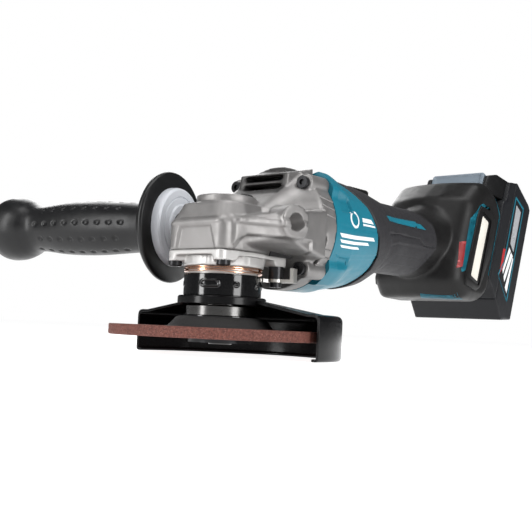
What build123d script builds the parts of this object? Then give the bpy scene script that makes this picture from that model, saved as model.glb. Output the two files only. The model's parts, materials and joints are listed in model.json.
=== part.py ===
from build123d import *
import os
from math import cos, pi, radians, sin, sqrt

# A cordless angle grinder with a 125 mm wheel, as an assembly of separate pieces.
# Millimetres.  The origin is the centre of the spindle's free end.  +X runs along the body
# from the battery to the gear head, +Y is the side with the open handle hole, and +Z runs
# up the spindle, away from the wheel.

# ---- clearances
running = 0.05                  # radial, of a shaft that turns in its hole
sliding = 0.35                  # between pieces that move past each other
seat = 0.02                     # between fixed pieces that nest

# ---- wheel and spindle
wheel_dia = 125.0
wheel_thick = 5.8
wheel_bore = 22.23
hub_rise = 6.0                  # how far the wheel's centre stands above its rim
hub_dia = 45.0
hub_foot_dia = 60.0
thread_dia = 14.0
tip_stickout = 0.8              # thread that shows below the lock nut
nut_dia = 41.0
nut_height = 8.6
flange_dia = 40.0
flange_height = 9.0
shoulder_dia = 19.0
bearing_journal = 15.0
gear_journal = 13.0
top_journal = 9.0

# ---- gear head
head_half_width = 25.0
nose_half_width = 20.5
head_front = 25.0
head_back = -31.0
joint_z = 51.5                  # joint between bearing box and gear housing
plate_thick = 6.0
plate_half_width = 22.5
box_boss_dia = 45.5
box_boss_depth = 8.5
box_neck_dia = 39.4
box_neck_z = 27.0
shoulder_z = 66.0
dome_z = 78.5
plateau_z = 83.5
plateau_dia = 34.0
chamber_radius = 20.6
chamber_z = 68.0

# ---- motor line
axis_z = 71.0
ring_radius = 37.5
ring_front = -44.0
motor_front = -57.0             # joint between gear housing and motor housing
motor_rear_radius = 32.5
motor_rear_z = 73.0
motor_rear = -120.0
shaft_dia = 8.0
pinion_shaft_dia = 4.4
fan_dia = 58.0
stator_dia = 60.0
stator_bore = 30.0
stator_front, stator_length = -66.0, 26.0
cup_wall = 2.5                  # of the cup behind the stator, round the windings
cup_radius = stator_dia / 2 - 1.5
rotor_gap = 0.6
front_bearing_x, rear_bearing_x = -26.0, -108.0
motor_bearing_dia, motor_bearing_width = 22.0, 7.0
screw_spread = 25.5             # the four long screws, from the motor line, in Y and Z

# ---- bevel gears: a heavy gear on the spindle, its pinion on the motor shaft
gear_teeth, pinion_teeth = 34, 10
gear_radius = 19.0              # pitch radius at the outer end
gear_face = 5.5
tooth_height, tooth_root = 0.85, 1.25
tooth_share = 0.36              # tooth thickness over circular pitch

# ---- guard
guard_gap = 6.0                 # from the wheel's rim to the guard's outside
guard_radius = wheel_dia / 2 + guard_gap
guard_wall = 1.6
guard_top, guard_bottom = 18.5, -6.4
guard_neck_dia = 49.0
guard_neck_z = 25.0
guard_lip = 4.5
collar_wall = 2.2
collar_top = 38.8

# ---- side handle, in a frame on the boss that leans towards the head
grip_lean = 12.0
boss_x, boss_y, boss_z = -14.0, 40.0, 69.5
boss_dia = 20.0
stud_dia = 8.0
stud_depth = 14.0
handle_flange_dia = 68.5
handle_flange_at, handle_flange_thick = 13.5, 4.5
ring_dia, ring_thick = 48.5, 6.0
grip_end = 153.5
grip_mid_dia, grip_neck_dia, grip_ball_dia = 35.0, 30.0, 42.0

# ---- body shells: the part that is gripped, and the housing behind it
body_radius = 24.3
body_z = 77.0
body_start, body_end = -150.0, -200.0
shell_wall = 2.8
split_top_x, split_top_z = -93.0, 98.0      # slanted joint of motor housing and shells
split_low_x, split_low_z = -121.0, 44.0
flare_x, flare_radius = -226.0, 32.0

# ---- rear housing and battery, in a frame that leans back
lean = 20.0
rear_x, rear_z = -273.5, 89.5   # centre of the seat between housing and battery
rear_half_width = 38.0
rear_depth = 45.0
rear_foot = 52.0                # how far the housing reaches below the seat's centre
rear_head = 36.0                # and above it
battery_low, battery_high = -57.0, 57.0
battery_depth = 49.0
battery_gap = 0.6
rail_width, rail_depth = 62.0, 15.0
rail_low, rail_high = -34.0, 26.0
battery_wall = 2.2
cell_dia, cell_length, cells_wide = 18.2, 65.0, 5

# ---- places that follow from the sizes
seat_under = tip_stickout + nut_height      # underside of the wheel's centre
seat_z = seat_under + wheel_thick
rim_top = seat_z - hub_rise
rim_low = rim_top - wheel_thick
flange_top = seat_z + flange_height
lower_bearing_width, lower_bearing_dia = 11.0, 35.0
lower_bearing_z = joint_z - box_boss_depth - lower_bearing_width
gear_seat_z = joint_z - box_boss_depth
gear_rise = gear_radius * pinion_teeth / gear_teeth
gear_pitch_z = axis_z - gear_rise
bush_dia, bush_height = 11.0, 6.0
bush_z = plateau_z - 3.5 - bush_height
spindle_top = bush_z + bush_height - 0.5
motor_line = Axis((0, 0, axis_z), (1, 0, 0))
back = Vector(-cos(radians(lean)), 0, -sin(radians(lean)))
slide = Vector(-sin(radians(lean)), 0, cos(radians(lean)))
rear_origin = Vector(rear_x, 0, rear_z)
upward = (Align.CENTER, Align.CENTER, Align.MIN)
downward = (Align.CENTER, Align.CENTER, Align.MAX)

os.makedirs("parts", exist_ok=True)


def across(x, z=axis_z):
    """Plane square to the motor line at x: its x is -Y, its y is Z, its normal is -X."""
    return Plane(origin=(x, 0, z), x_dir=(0, -1, 0), z_dir=(-1, 0, 0))


def seat_plane(depth=0.0, height=0.0):
    """Plane along the battery's seat: its x is -Y, its y the way the battery slides off."""
    return Plane(origin=rear_origin + back * depth + slide * height, x_dir=(0, -1, 0), z_dir=back)


def side_plane(y=0.0):
    """Plane square to Y in the leaning frame: its x runs into the battery."""
    return Plane(origin=rear_origin + Vector(0, y, 0), x_dir=back, z_dir=(0, 1, 0))


def handle_plane(along=0.0, side=-1):
    """Plane square to the side handle, at a distance from the boss's face."""
    out = Vector(sin(radians(grip_lean)), side * cos(radians(grip_lean)), 0)
    origin = Vector(boss_x, side * boss_y, boss_z) + out * along
    return Plane(origin=origin, x_dir=(0, 0, 1), z_dir=out)


# ================================================================ spindle and wheel
with BuildPart() as spindle:
    Cylinder(thread_dia / 2, flange_top, align=upward)
    with Locations((0, 0, flange_top)):
        Cylinder(shoulder_dia / 2, lower_bearing_z - flange_top, align=upward)
    with Locations((0, 0, lower_bearing_z)):
        Cylinder(bearing_journal / 2, lower_bearing_width, align=upward)
    with Locations((0, 0, gear_seat_z)):
        Cylinder(gear_journal / 2, gear_pitch_z - gear_seat_z - tooth_root, align=upward)
        Cylinder(top_journal / 2, spindle_top - gear_seat_z, align=upward)
    chamfer(spindle.edges().filter_by(GeomType.CIRCLE).sort_by(Axis.Z)[0], 0.8)
spindle.part.label = "spindle"
export_step(spindle.part, "parts/spindle.step")

flange_rim = flange_height - 2.5
pilot_height = wheel_thick - 1.5
with BuildPart(Plane.XY.offset(seat_z)) as inner_flange:
    Cylinder(flange_dia / 2, flange_rim, align=upward)
    Cylinder(shoulder_dia / 2 + 3, flange_height, align=upward)
    chamfer(inner_flange.edges().filter_by(GeomType.CIRCLE).group_by(SortBy.RADIUS)[-1], 0.8)
    Cylinder(wheel_bore / 2 - running, pilot_height, align=downward)
    Cylinder(thread_dia / 2 + seat, 4 * flange_height, mode=Mode.SUBTRACT)
inner_flange.part.label = "inner_flange"
export_step(inner_flange.part, "parts/inner_flange.step")

with BuildPart() as grinding_wheel:
    with BuildSketch(Plane.XZ):
        with BuildLine():
            Polyline(
                (wheel_bore / 2, seat_under),
                (hub_dia / 2 - 2, seat_under),
                (hub_foot_dia / 2 - 2, rim_low),
                (wheel_dia / 2, rim_low),
                (wheel_dia / 2, rim_top),
                (hub_foot_dia / 2, rim_top),
                (hub_dia / 2, seat_z),
                (wheel_bore / 2, seat_z),
                close=True,
            )
        make_face()
    revolve(axis=Axis.Z)
    chamfer(grinding_wheel.edges().filter_by(GeomType.CIRCLE).group_by(SortBy.RADIUS)[-1], 0.4)
grinding_wheel.part.label = "grinding_wheel"
export_step(grinding_wheel.part, "parts/grinding_wheel.step")

label_dia, label_thick = 44.0, 0.4
with BuildPart(Plane.XY.offset(seat_z)) as wheel_label:
    Cylinder(label_dia / 2, label_thick, align=upward)
    Cylinder(flange_dia / 2 + seat, 3 * label_thick, mode=Mode.SUBTRACT)
wheel_label.part.label = "wheel_label"
export_step(wheel_label.part, "parts/wheel_label.step")

pin_holes, pin_hole_dia, pin_circle, nut_skirt_dia = 4, 4.0, 30.0, 36.0
with BuildPart(Plane.XY.offset(seat_under)) as lock_nut:
    Cylinder(nut_dia / 2, nut_height - 2.5, align=downward)
    Cylinder(nut_skirt_dia / 2, nut_height, align=downward)
    chamfer(lock_nut.edges().filter_by(GeomType.CIRCLE).group_by(SortBy.RADIUS)[-1], 0.7)
    with Locations((0, 0, -nut_height)):
        with PolarLocations(pin_circle / 2, pin_holes):
            Cylinder(pin_hole_dia / 2, 4, align=upward, mode=Mode.SUBTRACT)
    Cylinder(thread_dia / 2 + seat, 3 * nut_height, mode=Mode.SUBTRACT)
lock_nut.part.label = "lock_nut"
export_step(lock_nut.part, "parts/lock_nut.step")


# ================================================================ ball bearings
def ball_bearing(plane, outer, bore, width, balls, name):
    """Rings of a ball bearing that starts on plane; the balls go with the inner ring."""
    race = (outer + bore) / 4
    ball = (outer - bore) * 0.14
    with BuildPart() as outer_ring:
        with BuildSketch(plane):
            Circle(outer / 2)
            Circle(race + ball + running, mode=Mode.SUBTRACT)
        extrude(amount=width)
    outer_ring.part.label = f"{name}_outer"
    export_step(outer_ring.part, f"parts/{name}_outer.step")
    with BuildPart() as inner_ring:
        with BuildSketch(plane):
            Circle(race - ball * 0.5)
            Circle(bore / 2 + seat, mode=Mode.SUBTRACT)
        extrude(amount=width)
        with Locations(plane.offset(width / 2)):
            with PolarLocations(race, balls):
                Sphere(ball)
    inner_ring.part.label = f"{name}_inner"
    export_step(inner_ring.part, f"parts/{name}_inner.step")


ball_bearing(Plane.XY.offset(lower_bearing_z), lower_bearing_dia, bearing_journal,
             lower_bearing_width, 9, "lower_bearing")
ball_bearing(across(front_bearing_x), motor_bearing_dia, shaft_dia, motor_bearing_width, 8, "front_bearing")
ball_bearing(across(rear_bearing_x), motor_bearing_dia, shaft_dia, motor_bearing_width, 8, "rear_bearing")

with BuildPart(Plane.XY.offset(bush_z)) as spindle_bush:
    Cylinder(bush_dia / 2, bush_height, align=upward)
    Cylinder(top_journal / 2 + running, 3 * bush_height, mode=Mode.SUBTRACT)
spindle_bush.part.label = "spindle_bush"
export_step(spindle_bush.part, "parts/spindle_bush.step")

# ================================================================ bevel gears
half_tooth = 2 * pi * gear_radius / gear_teeth * tooth_share / 2
inner_share = (gear_radius - gear_face) / gear_radius
root_sink = 0.3                 # how deep a tooth is rooted in its cone


def tooth_points(share, base):
    """Corners of a tooth's section, at a share of full size, over a pitch line at base."""
    root, mid, tip = (half_tooth * share * wide for wide in (1.45, 1.0, 0.42))
    foot = base - (tooth_root + root_sink) * share
    top = base + tooth_height * share
    return [(-root, foot), (-mid, base), (-tip, top), (tip, top), (mid, base), (root, foot)]


with BuildPart() as gear_tooth:
    for share in (inner_share, 1.0):
        with BuildSketch(Plane(origin=(gear_radius * share, 0, axis_z - gear_rise * share),
                               x_dir=(0, 1, 0), z_dir=(1, 0, 0))):
            with BuildLine():
                Polyline(*tooth_points(share, 0), close=True)
            make_face()
    loft(ruled=True)

web_z = joint_z + 4.5
rim_radius = gear_radius + 0.4
with BuildPart() as bevel_gear:
    with BuildSketch(Plane.XZ):
        with BuildLine():
            Polyline(
                (gear_journal / 2 + seat, gear_seat_z + 0.5),
                (gear_journal / 2 + 4, gear_seat_z + 0.5),
                (gear_journal / 2 + 4, web_z),
                (rim_radius, web_z),
                (rim_radius, gear_pitch_z - tooth_root),
                (gear_radius, gear_pitch_z - tooth_root),
                (gear_radius * inner_share, axis_z - (gear_rise + tooth_root) * inner_share),
                (gear_radius * inner_share - 0.5, gear_pitch_z - tooth_root),
                (gear_journal / 2 + seat, gear_pitch_z - tooth_root),
                close=True,
            )
        make_face()
    revolve(axis=Axis.Z)
    with PolarLocations(0, gear_teeth):
        add(gear_tooth.part)
bevel_gear.part.label = "bevel_gear"
export_step(bevel_gear.part, "parts/bevel_gear.step")

with BuildPart() as pinion_tooth:
    for share in (inner_share, 1.0):
        with BuildSketch(across(-gear_radius * share)):
            with BuildLine():
                Polyline(*tooth_points(share, gear_rise * share), close=True)
            make_face()
    loft(ruled=True)

pinion_hub = 3.5
pinion_end = -gear_radius - pinion_hub
with BuildPart() as bevel_pinion:
    with BuildSketch(across(-gear_radius * inner_share)):
        Circle((gear_rise - tooth_root) * inner_share)
    with BuildSketch(across(-gear_radius)):
        Circle(gear_rise - tooth_root)
    loft(ruled=True)
    with BuildSketch(across(-gear_radius)):
        Circle(gear_rise)
    extrude(amount=pinion_hub)
    for turn in range(pinion_teeth):
        add(pinion_tooth.part.rotate(motor_line, 360 / pinion_teeth * (turn + 0.5)))
    with BuildSketch(across(-gear_radius * inner_share - 1)):
        Circle(pinion_shaft_dia / 2 + seat)
    extrude(amount=gear_radius, mode=Mode.SUBTRACT)
bevel_pinion.part.label = "bevel_pinion"
export_step(bevel_pinion.part, "parts/bevel_pinion.step")

# ================================================================ motor
shaft_end = rear_bearing_x - motor_bearing_width - 2
with BuildPart() as motor_shaft:
    with BuildSketch(across(-gear_radius * inner_share - 1.5)):
        Circle(pinion_shaft_dia / 2)
    extrude(amount=gear_radius - gear_radius * inner_share + pinion_hub - 1.5)
    with BuildSketch(across(pinion_end)):
        Circle(shaft_dia / 2)
    extrude(amount=pinion_end - shaft_end)
motor_shaft.part.label = "motor_shaft"
export_step(motor_shaft.part, "parts/motor_shaft.step")

stator_back = stator_front - stator_length
rotor_dia = stator_bore - 2 * rotor_gap
with BuildPart() as rotor_core:
    with BuildSketch(across(stator_front + 1)):
        Circle(rotor_dia / 2)
        Circle(shaft_dia / 2 + seat, mode=Mode.SUBTRACT)
    extrude(amount=stator_length + 2)
rotor_core.part.label = "rotor_core"
export_step(rotor_core.part, "parts/rotor_core.step")

slots, slot_depth, pole_width, back_iron = 6, 8.5, 7.0, 4.0
with BuildPart() as stator_core:
    with BuildSketch(across(stator_front)):
        Circle(stator_dia / 2)
        Circle(stator_dia / 2 - back_iron, mode=Mode.SUBTRACT)
        with PolarLocations(0, slots):
            with Locations(((stator_dia / 2 - back_iron + stator_bore / 2) / 2, 0)):
                Rectangle(stator_dia / 2 - back_iron / 2 - stator_bore / 2, pole_width)
            with Locations((stator_bore / 2 + 1, 0)):
                Rectangle(2, pole_width + 4)
        Circle(stator_bore / 2, mode=Mode.SUBTRACT)
    extrude(amount=stator_length)
stator_core.part.label = "stator_core"
export_step(stator_core.part, "parts/stator_core.step")

coil_thick, coil_overhang = 2.6, 4.0
coil_half = pole_width / 2 + coil_thick
coil_inside = stator_bore / 2 + 2 + sliding
coil_outside = sqrt((stator_dia / 2 - back_iron) ** 2 - coil_half**2) - sliding
coil_height = coil_outside - coil_inside
coil_middle = (coil_outside + coil_inside) / 2
with BuildPart() as stator_coils:
    with BuildSketch(across(stator_front + coil_overhang)):
        with PolarLocations(coil_middle, slots):
            Rectangle(coil_height, 2 * coil_half)
    extrude(amount=stator_length + 2 * coil_overhang)
    with BuildSketch(across(stator_front)):
        with PolarLocations(coil_middle, slots):
            Rectangle(coil_height, pole_width + 2 * seat)
    extrude(amount=stator_length, mode=Mode.SUBTRACT)
stator_coils.part.label = "stator_coils"
export_step(stator_coils.part, "parts/stator_coils.step")

fan_front, fan_depth, fan_blades, blade_thick = ring_front, 10.0, 13, 1.4
with BuildPart() as cooling_fan:
    with BuildSketch(across(fan_front)):
        Circle(fan_dia / 2)
    extrude(amount=1.8)
    with BuildSketch(across(fan_front)):
        Circle(shaft_dia / 2 + 4)
    extrude(amount=fan_depth)
    with BuildSketch(across(fan_front)):
        with PolarLocations(fan_dia / 2 - 9, fan_blades):
            Rectangle(18, blade_thick, rotation=25)
        Circle(fan_dia / 2, mode=Mode.INTERSECT)
    extrude(amount=fan_depth)
    with BuildSketch(across(fan_front + 1)):
        Circle(shaft_dia / 2 + seat)
    extrude(amount=2 * fan_depth, mode=Mode.SUBTRACT)
cooling_fan.part.label = "cooling_fan"
export_step(cooling_fan.part, "parts/cooling_fan.step")

board_thick = 1.6
with BuildPart() as sensor_board:
    with BuildSketch(across(stator_back - coil_overhang - sliding)):
        Circle(cup_radius - cup_wall - sliding)
        Circle(shaft_dia / 2 + 2, mode=Mode.SUBTRACT)
    extrude(amount=board_thick)
sensor_board.part.label = "sensor_board"
export_step(sensor_board.part, "parts/sensor_board.step")

# ================================================================ gear housing
head_outline = [
    (head_back, -head_half_width), (head_back, head_half_width), (10, head_half_width),
    (head_front, nose_half_width), (head_front, -nose_half_width), (10, -head_half_width),
]
bush_boss = bush_dia / 2 + 2
bearing_back = front_bearing_x - motor_bearing_width
fan_bay_front = ring_front + 2.5
fan_bay_radius = fan_dia / 2 + 2
ear_dia, screw_dia, screw_head_dia = 11.0, 4.0, 7.4
ear_front = -39.0
vent_front, vent_top, vent_half_width = -28.0, 108.0, 18.5
slot_height, slot_half_width = 3.4, 14.5
slot_drops = (14.2, 8.6)        # of the two air slots, below the top of the block
slot_lead = 3.0                 # the slots start this far in front of the block
outline_fillet = 7.0            # rear corners of the head
dome_share = 0.78               # of the head's outline, at the top of the dome
loft_front_x, loft_front_corner = -8.0, 9.0
loft_back_widen, loft_back_corner = 12.0, 16.0
loft_back_top = vent_top - 14
ring_corner_share = 0.85        # of the ring's radius, where the body meets it
vent_sill, vent_lip = 21.0, 6.0  # below the block's top, the two bends of its front
mouth_width, mouth_height, mouth_rise, mouth_corner = 5.0, 17.0, 6.0, 2.4
head_pocket = 12.0              # depth of the room for a long screw's head
lock_x, lock_pin_dia = -10.6, 3.4
button_floor_z = 78.0
button_x, button_size = -13.6, 10.0
corner_places = [(screw_spread * a, screw_spread * b) for a in (-1, 1) for b in (-1, 1)]

with BuildPart() as gear_housing:
    # head over the gear, with its sloping shoulder and the round plateau
    with BuildSketch(Plane.XY.offset(joint_z)):
        with BuildLine():
            Polyline(*head_outline, close=True)
        make_face()
        fillet(vertices().sort_by(Axis.X)[-4:], outline_fillet)
    extrude(amount=shoulder_z - joint_z)
    with BuildSketch(Plane.XY.offset(shoulder_z)):
        with BuildLine():
            Polyline(*head_outline, close=True)
        make_face()
        fillet(vertices().sort_by(Axis.X)[-4:], outline_fillet)
    with BuildSketch(Plane.XY.offset(dome_z)):
        with BuildLine():
            Polyline(*[(x * dome_share, y * dome_share) for x, y in head_outline], close=True)
        make_face()
        fillet(vertices().sort_by(Axis.X)[-4:], outline_fillet)
    loft(ruled=True)
    with BuildSketch(Plane.XY.offset(dome_z)):
        Circle(plateau_dia / 2)
    extrude(amount=plateau_z - dome_z)
    # body that widens to the ring at the motor
    ring_corner = ring_corner_share * ring_radius
    ring_width = 2 * (ring_corner + (ring_radius - ring_corner) / sqrt(2) - 0.1)
    with BuildSketch(across(loft_front_x, (joint_z + dome_z) / 2)):
        RectangleRounded(2 * head_half_width, dome_z - joint_z, loft_front_corner)
    with BuildSketch(across(head_back, (joint_z + loft_back_top) / 2)):
        RectangleRounded(
            2 * head_half_width + loft_back_widen, loft_back_top - joint_z, loft_back_corner,
        )
    with BuildSketch(across(ring_front)):
        RectangleRounded(ring_width, ring_width, ring_corner)
    loft(ruled=True)
    with BuildSketch(across(ring_front)):
        Circle(ring_radius)
    extrude(amount=ring_front - motor_front)
    # block with the air slots, on top behind the plateau
    with BuildSketch(Plane.XZ.offset(-vent_half_width)):
        with BuildLine():
            Polyline(
                (vent_front, dome_z - 4), (vent_front - 1, vent_top - vent_sill),
                (vent_front - 4, vent_top - vent_lip),
                (motor_front, vent_top), (motor_front, dome_z), close=True,
            )
        make_face()
    extrude(amount=2 * vent_half_width)
    # ears of the four long screws, and the two bosses of the side handle
    with BuildSketch(across(ear_front)):
        with Locations(*corner_places):
            Circle(ear_dia / 2)
    extrude(amount=ear_front - motor_front)
    for side in (-1, 1):
        with BuildSketch(handle_plane(0, side)):
            Circle(boss_dia / 2)
        extrude(amount=head_half_width - boss_y)
    # chamber of the gears
    with BuildSketch(Plane.XZ):
        with BuildLine():
            Polyline(
                (0, joint_z - 1), (chamber_radius, joint_z - 1), (chamber_radius, chamber_z),
                (bush_boss, bush_z - 1.2), (0, bush_z - 1.2), close=True,
            )
        make_face()
    revolve(axis=Axis.Z, mode=Mode.SUBTRACT)
    with BuildSketch(Plane.XY.offset(bush_z - 2)):
        Circle(bush_dia / 2 + seat)
    extrude(amount=bush_height + 2 + seat, mode=Mode.SUBTRACT)
    # pinion, front bearing, fan bay
    for start, radius, end in (
        (-gear_radius / 2, gear_rise + tooth_height + 1, front_bearing_x - 1),
        (front_bearing_x, motor_bearing_dia / 2 + seat, fan_bay_front - 1),
        (fan_bay_front, fan_bay_radius, motor_front - 1),
    ):
        with BuildSketch(across(start)):
            Circle(radius)
        extrude(amount=start - end, mode=Mode.SUBTRACT)
    # air slots, from the vent's face into the fan bay
    for drop in slot_drops:
        with BuildSketch(across(vent_front + slot_lead, vent_top - drop)):
            RectangleRounded(2 * slot_half_width, slot_height, slot_height / 2 - 0.1)
        extrude(amount=vent_front + slot_lead - fan_bay_front + 4, mode=Mode.SUBTRACT)
    # low air mouths on both sides, behind the bearing box
    with BuildSketch(Plane.XZ.offset(-ring_radius)):
        with Locations((ring_front - mouth_width / 2, joint_z + mouth_rise)):
            RectangleRounded(mouth_width, mouth_height, mouth_corner)
    extrude(amount=2 * ring_radius, mode=Mode.SUBTRACT)
    # screw holes with room for the heads, handle holes, and the hole of the lock pin
    for start, depth, radius in (
        (ear_front, ear_front - motor_front, screw_dia / 2 + 0.1),
        (ear_front + head_pocket, head_pocket, screw_head_dia / 2 + 0.4),
    ):
        with BuildSketch(across(start)):
            with Locations(*corner_places):
                Circle(radius)
        extrude(amount=depth, mode=Mode.SUBTRACT)
    for side in (-1, 1):
        with BuildSketch(handle_plane(0, side)):
            Circle(stud_dia / 2 + running)
        extrude(amount=-stud_depth - 1, mode=Mode.SUBTRACT)
    with BuildSketch(Plane.XY.offset(chamber_z)):
        with Locations((lock_x, 0)):
            Circle(lock_pin_dia / 2 + running)
    extrude(amount=ring_radius, mode=Mode.SUBTRACT)
    with BuildSketch(Plane.XY.offset(button_floor_z)):
        with Locations((button_x, 0)):
            RectangleRounded(button_size + 2 * sliding, button_size + 2 * sliding, 2)
    extrude(amount=ring_radius, mode=Mode.SUBTRACT)
gear_housing.part.label = "gear_housing"
export_step(gear_housing.part, "parts/gear_housing.step")

retainer_thick = 2.0
with BuildPart() as bearing_retainer:
    with BuildSketch(across(bearing_back)):
        Circle(motor_bearing_dia / 2)
        Circle(motor_bearing_dia / 2 - 3, mode=Mode.SUBTRACT)
    extrude(amount=retainer_thick)
bearing_retainer.part.label = "bearing_retainer"
export_step(bearing_retainer.part, "parts/bearing_retainer.step")

with BuildPart() as gear_housing_screws:
    with BuildSketch(across(ear_front + screw_dia * 0.7)):
        with Locations(*corner_places):
            Circle(screw_head_dia / 2)
    extrude(amount=screw_dia * 0.7)
    with BuildSketch(across(ear_front)):
        with Locations(*corner_places):
            Circle(screw_dia / 2)
    extrude(amount=ear_front - motor_front + 12)
    with BuildSketch(across(ear_front + screw_dia * 0.7)):
        with Locations(*corner_places):
            RegularPolygon(1.9, 6)
    extrude(amount=1.6, mode=Mode.SUBTRACT)
gear_housing_screws.part.label = "gear_housing_screws"
export_step(gear_housing_screws.part, "parts/gear_housing_screws.step")

# ================================================================ bearing box
plate_screw_dia, plate_screw_head = 4.0, 7.0
plate_screw_x, plate_screw_y = 20.5, 18.2
lever_x, lever_y = -25.0, 18.2
spigot_height = 2.5
plate_places = [(plate_screw_x, plate_screw_y), (plate_screw_x, -plate_screw_y), (lever_x, -lever_y)]
with BuildPart() as bearing_box:
    with BuildSketch(Plane.XY.offset(joint_z - plate_thick)):
        with BuildLine():
            Polyline(
                (head_back, -plate_half_width), (head_back, plate_half_width), (13, plate_half_width),
                (head_front, nose_half_width), (head_front, -nose_half_width), (13, -plate_half_width),
                close=True,
            )
        make_face()
        fillet(vertices(), 4)
    extrude(amount=plate_thick)
    with BuildSketch(Plane.XY.offset(gear_seat_z)):
        Circle(box_boss_dia / 2)
    extrude(amount=box_boss_depth)
    with BuildSketch(Plane.XY.offset(box_neck_z)):
        Circle(box_neck_dia / 2)
    extrude(amount=joint_z + spigot_height - box_neck_z)
    # arched recesses between the corners
    with BuildSketch(Plane.XY.offset(joint_z - plate_thick)):
        with Locations((head_front + 9, 0), (-3, plate_half_width + 13), (-3, -plate_half_width - 13)):
            Circle(17)
    extrude(amount=plate_thick / 2, mode=Mode.SUBTRACT)
    # seat of the bearing, open above, and the hole of the spindle
    with BuildSketch(Plane.XY.offset(lower_bearing_z)):
        Circle(lower_bearing_dia / 2 + seat)
    extrude(amount=joint_z, mode=Mode.SUBTRACT)
    with BuildSketch(Plane.XY):
        Circle(shoulder_dia / 2 + 1)
    extrude(amount=joint_z, mode=Mode.SUBTRACT)
    with BuildSketch(Plane.XY.offset(joint_z - plate_thick)):
        with Locations(*plate_places, (lever_x, lever_y)):
            Circle(plate_screw_dia / 2 + 0.1)
    extrude(amount=plate_thick, mode=Mode.SUBTRACT)
bearing_box.part.label = "bearing_box"
export_step(bearing_box.part, "parts/bearing_box.step")

plate_screw_length = 7.5
with BuildPart(Plane.XY.offset(joint_z - plate_thick)) as bearing_box_screws:
    with Locations(*plate_places):
        Cylinder(plate_screw_head / 2, 3, align=downward)
        Cylinder(plate_screw_dia / 2, plate_screw_length - 2, align=upward)
        with Locations((0, 0, -3)):
            Cylinder(1.9, 1.6, align=upward, mode=Mode.SUBTRACT)
bearing_box_screws.part.label = "bearing_box_screws"
export_step(bearing_box_screws.part, "parts/bearing_box_screws.step")

spring_dia, spring_waves, spring_leaf = 44.6, 3, 0.8
spring_step = (gear_seat_z - collar_top - sliding) / spring_waves
with BuildPart() as wave_springs:
    for leaf in range(spring_waves):
        leaf_z = gear_seat_z - spring_leaf - leaf * spring_step
        with BuildSketch(Plane.XY.offset(leaf_z)):
            Circle(spring_dia / 2)
            Circle(box_neck_dia / 2 + seat, mode=Mode.SUBTRACT)
        extrude(amount=spring_leaf)
        if leaf > 0:
            with Locations(Plane.XY.offset(leaf_z)):
                with PolarLocations((spring_dia + box_neck_dia) / 4, 3, start_angle=60 * leaf):
                    Box(1.6, 5, spring_step, align=upward)
wave_springs.part.label = "wave_springs"
export_step(wave_springs.part, "parts/wave_springs.step")

# ================================================================ shaft lock
lock_travel = 3.0
lock_pin_low = gear_pitch_z - tooth_root + sliding + lock_travel
button_low = button_floor_z + lock_travel + sliding
button_top = plateau_z + 3.4
pin_in_button = 2.5
lock_spring_x, lock_spring_dia, lock_wire = -15.2, 3.6, 0.5
with BuildPart() as shaft_lock_pin:
    with BuildSketch(Plane.XY.offset(lock_pin_low)):
        with Locations((lock_x, 0)):
            Circle(lock_pin_dia / 2)
    extrude(amount=button_low + pin_in_button - lock_pin_low)
shaft_lock_pin.part.label = "shaft_lock_pin"
export_step(shaft_lock_pin.part, "parts/shaft_lock_pin.step")

with BuildPart() as shaft_lock_button:
    with BuildSketch(Plane.XY.offset(button_low)):
        with Locations((button_x, 0)):
            RectangleRounded(button_size, button_size, 2)
    extrude(amount=button_top - button_low)
    chamfer(shaft_lock_button.faces().sort_by(Axis.Z)[-1].edges(), 0.8)
    with BuildSketch(Plane.XY.offset(button_low)):
        with Locations((lock_x, 0)):
            Circle(lock_pin_dia / 2 + seat)
        with Locations((lock_spring_x, 0)):
            Circle(lock_spring_dia / 2 + lock_wire)
    extrude(amount=pin_in_button + seat, mode=Mode.SUBTRACT)
shaft_lock_button.part.label = "shaft_lock_button"
export_step(shaft_lock_button.part, "parts/shaft_lock_button.step")

lock_spring_height = button_low + pin_in_button - lock_travel - button_floor_z - lock_wire - 2 * seat
with BuildPart() as shaft_lock_spring:
    with BuildLine() as coil:
        Helix(lock_spring_height / 3, lock_spring_height, lock_spring_dia / 2,
              center=(lock_spring_x, 0, button_floor_z + lock_wire / 2 + seat))
    with BuildSketch(Plane(origin=coil.line @ 0, z_dir=coil.line % 0)):
        Circle(lock_wire / 2)
    sweep(is_frenet=True)
shaft_lock_spring.part.label = "shaft_lock_spring"
export_step(shaft_lock_spring.part, "parts/shaft_lock_spring.step")

# ================================================================ guard
guard_floor = guard_top - guard_wall
cone_wall = guard_wall * 1.1
flat_radius = guard_radius - 8.0
neck_radius = guard_neck_dia / 2
collar_low = box_neck_z - 0.4
collar_radius = box_neck_dia / 2 + running
with BuildPart() as wheel_guard:
    # skirt, shoulder and the lip turned in at its lower edge, half a turn round the back
    with BuildSketch(Plane.YZ):
        with BuildLine():
            Polyline(
                (guard_radius, guard_bottom), (guard_radius, guard_top - 3),
                (guard_radius - 3, guard_top), (flat_radius, guard_top),
                (neck_radius, guard_neck_z), (neck_radius, guard_neck_z - cone_wall),
                (flat_radius, guard_floor), (guard_radius - 3 - guard_wall / 2, guard_floor),
                (guard_radius - guard_wall, guard_floor - 2.6),
                (guard_radius - guard_wall, guard_bottom + guard_wall),
                (guard_radius - guard_lip, guard_bottom + guard_wall),
                (guard_radius - guard_lip, guard_bottom), close=True,
            )
        make_face()
    revolve(axis=Axis.Z, revolution_arc=180)
    # whole neck that the collar is riveted to
    with BuildSketch(Plane.XZ):
        with BuildLine():
            Polyline(
                (collar_radius, collar_low), (neck_radius + 0.5, collar_low),
                (neck_radius + 0.5, guard_neck_z - cone_wall - 1.2),
                (neck_radius - 1.2, guard_neck_z - cone_wall - 1.2),
                (neck_radius - 1.2, collar_low - 1.6), (collar_radius, collar_low - 1.6), close=True,
            )
        make_face()
    revolve(axis=Axis.Z)
wheel_guard.part.label = "wheel_guard"
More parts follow.
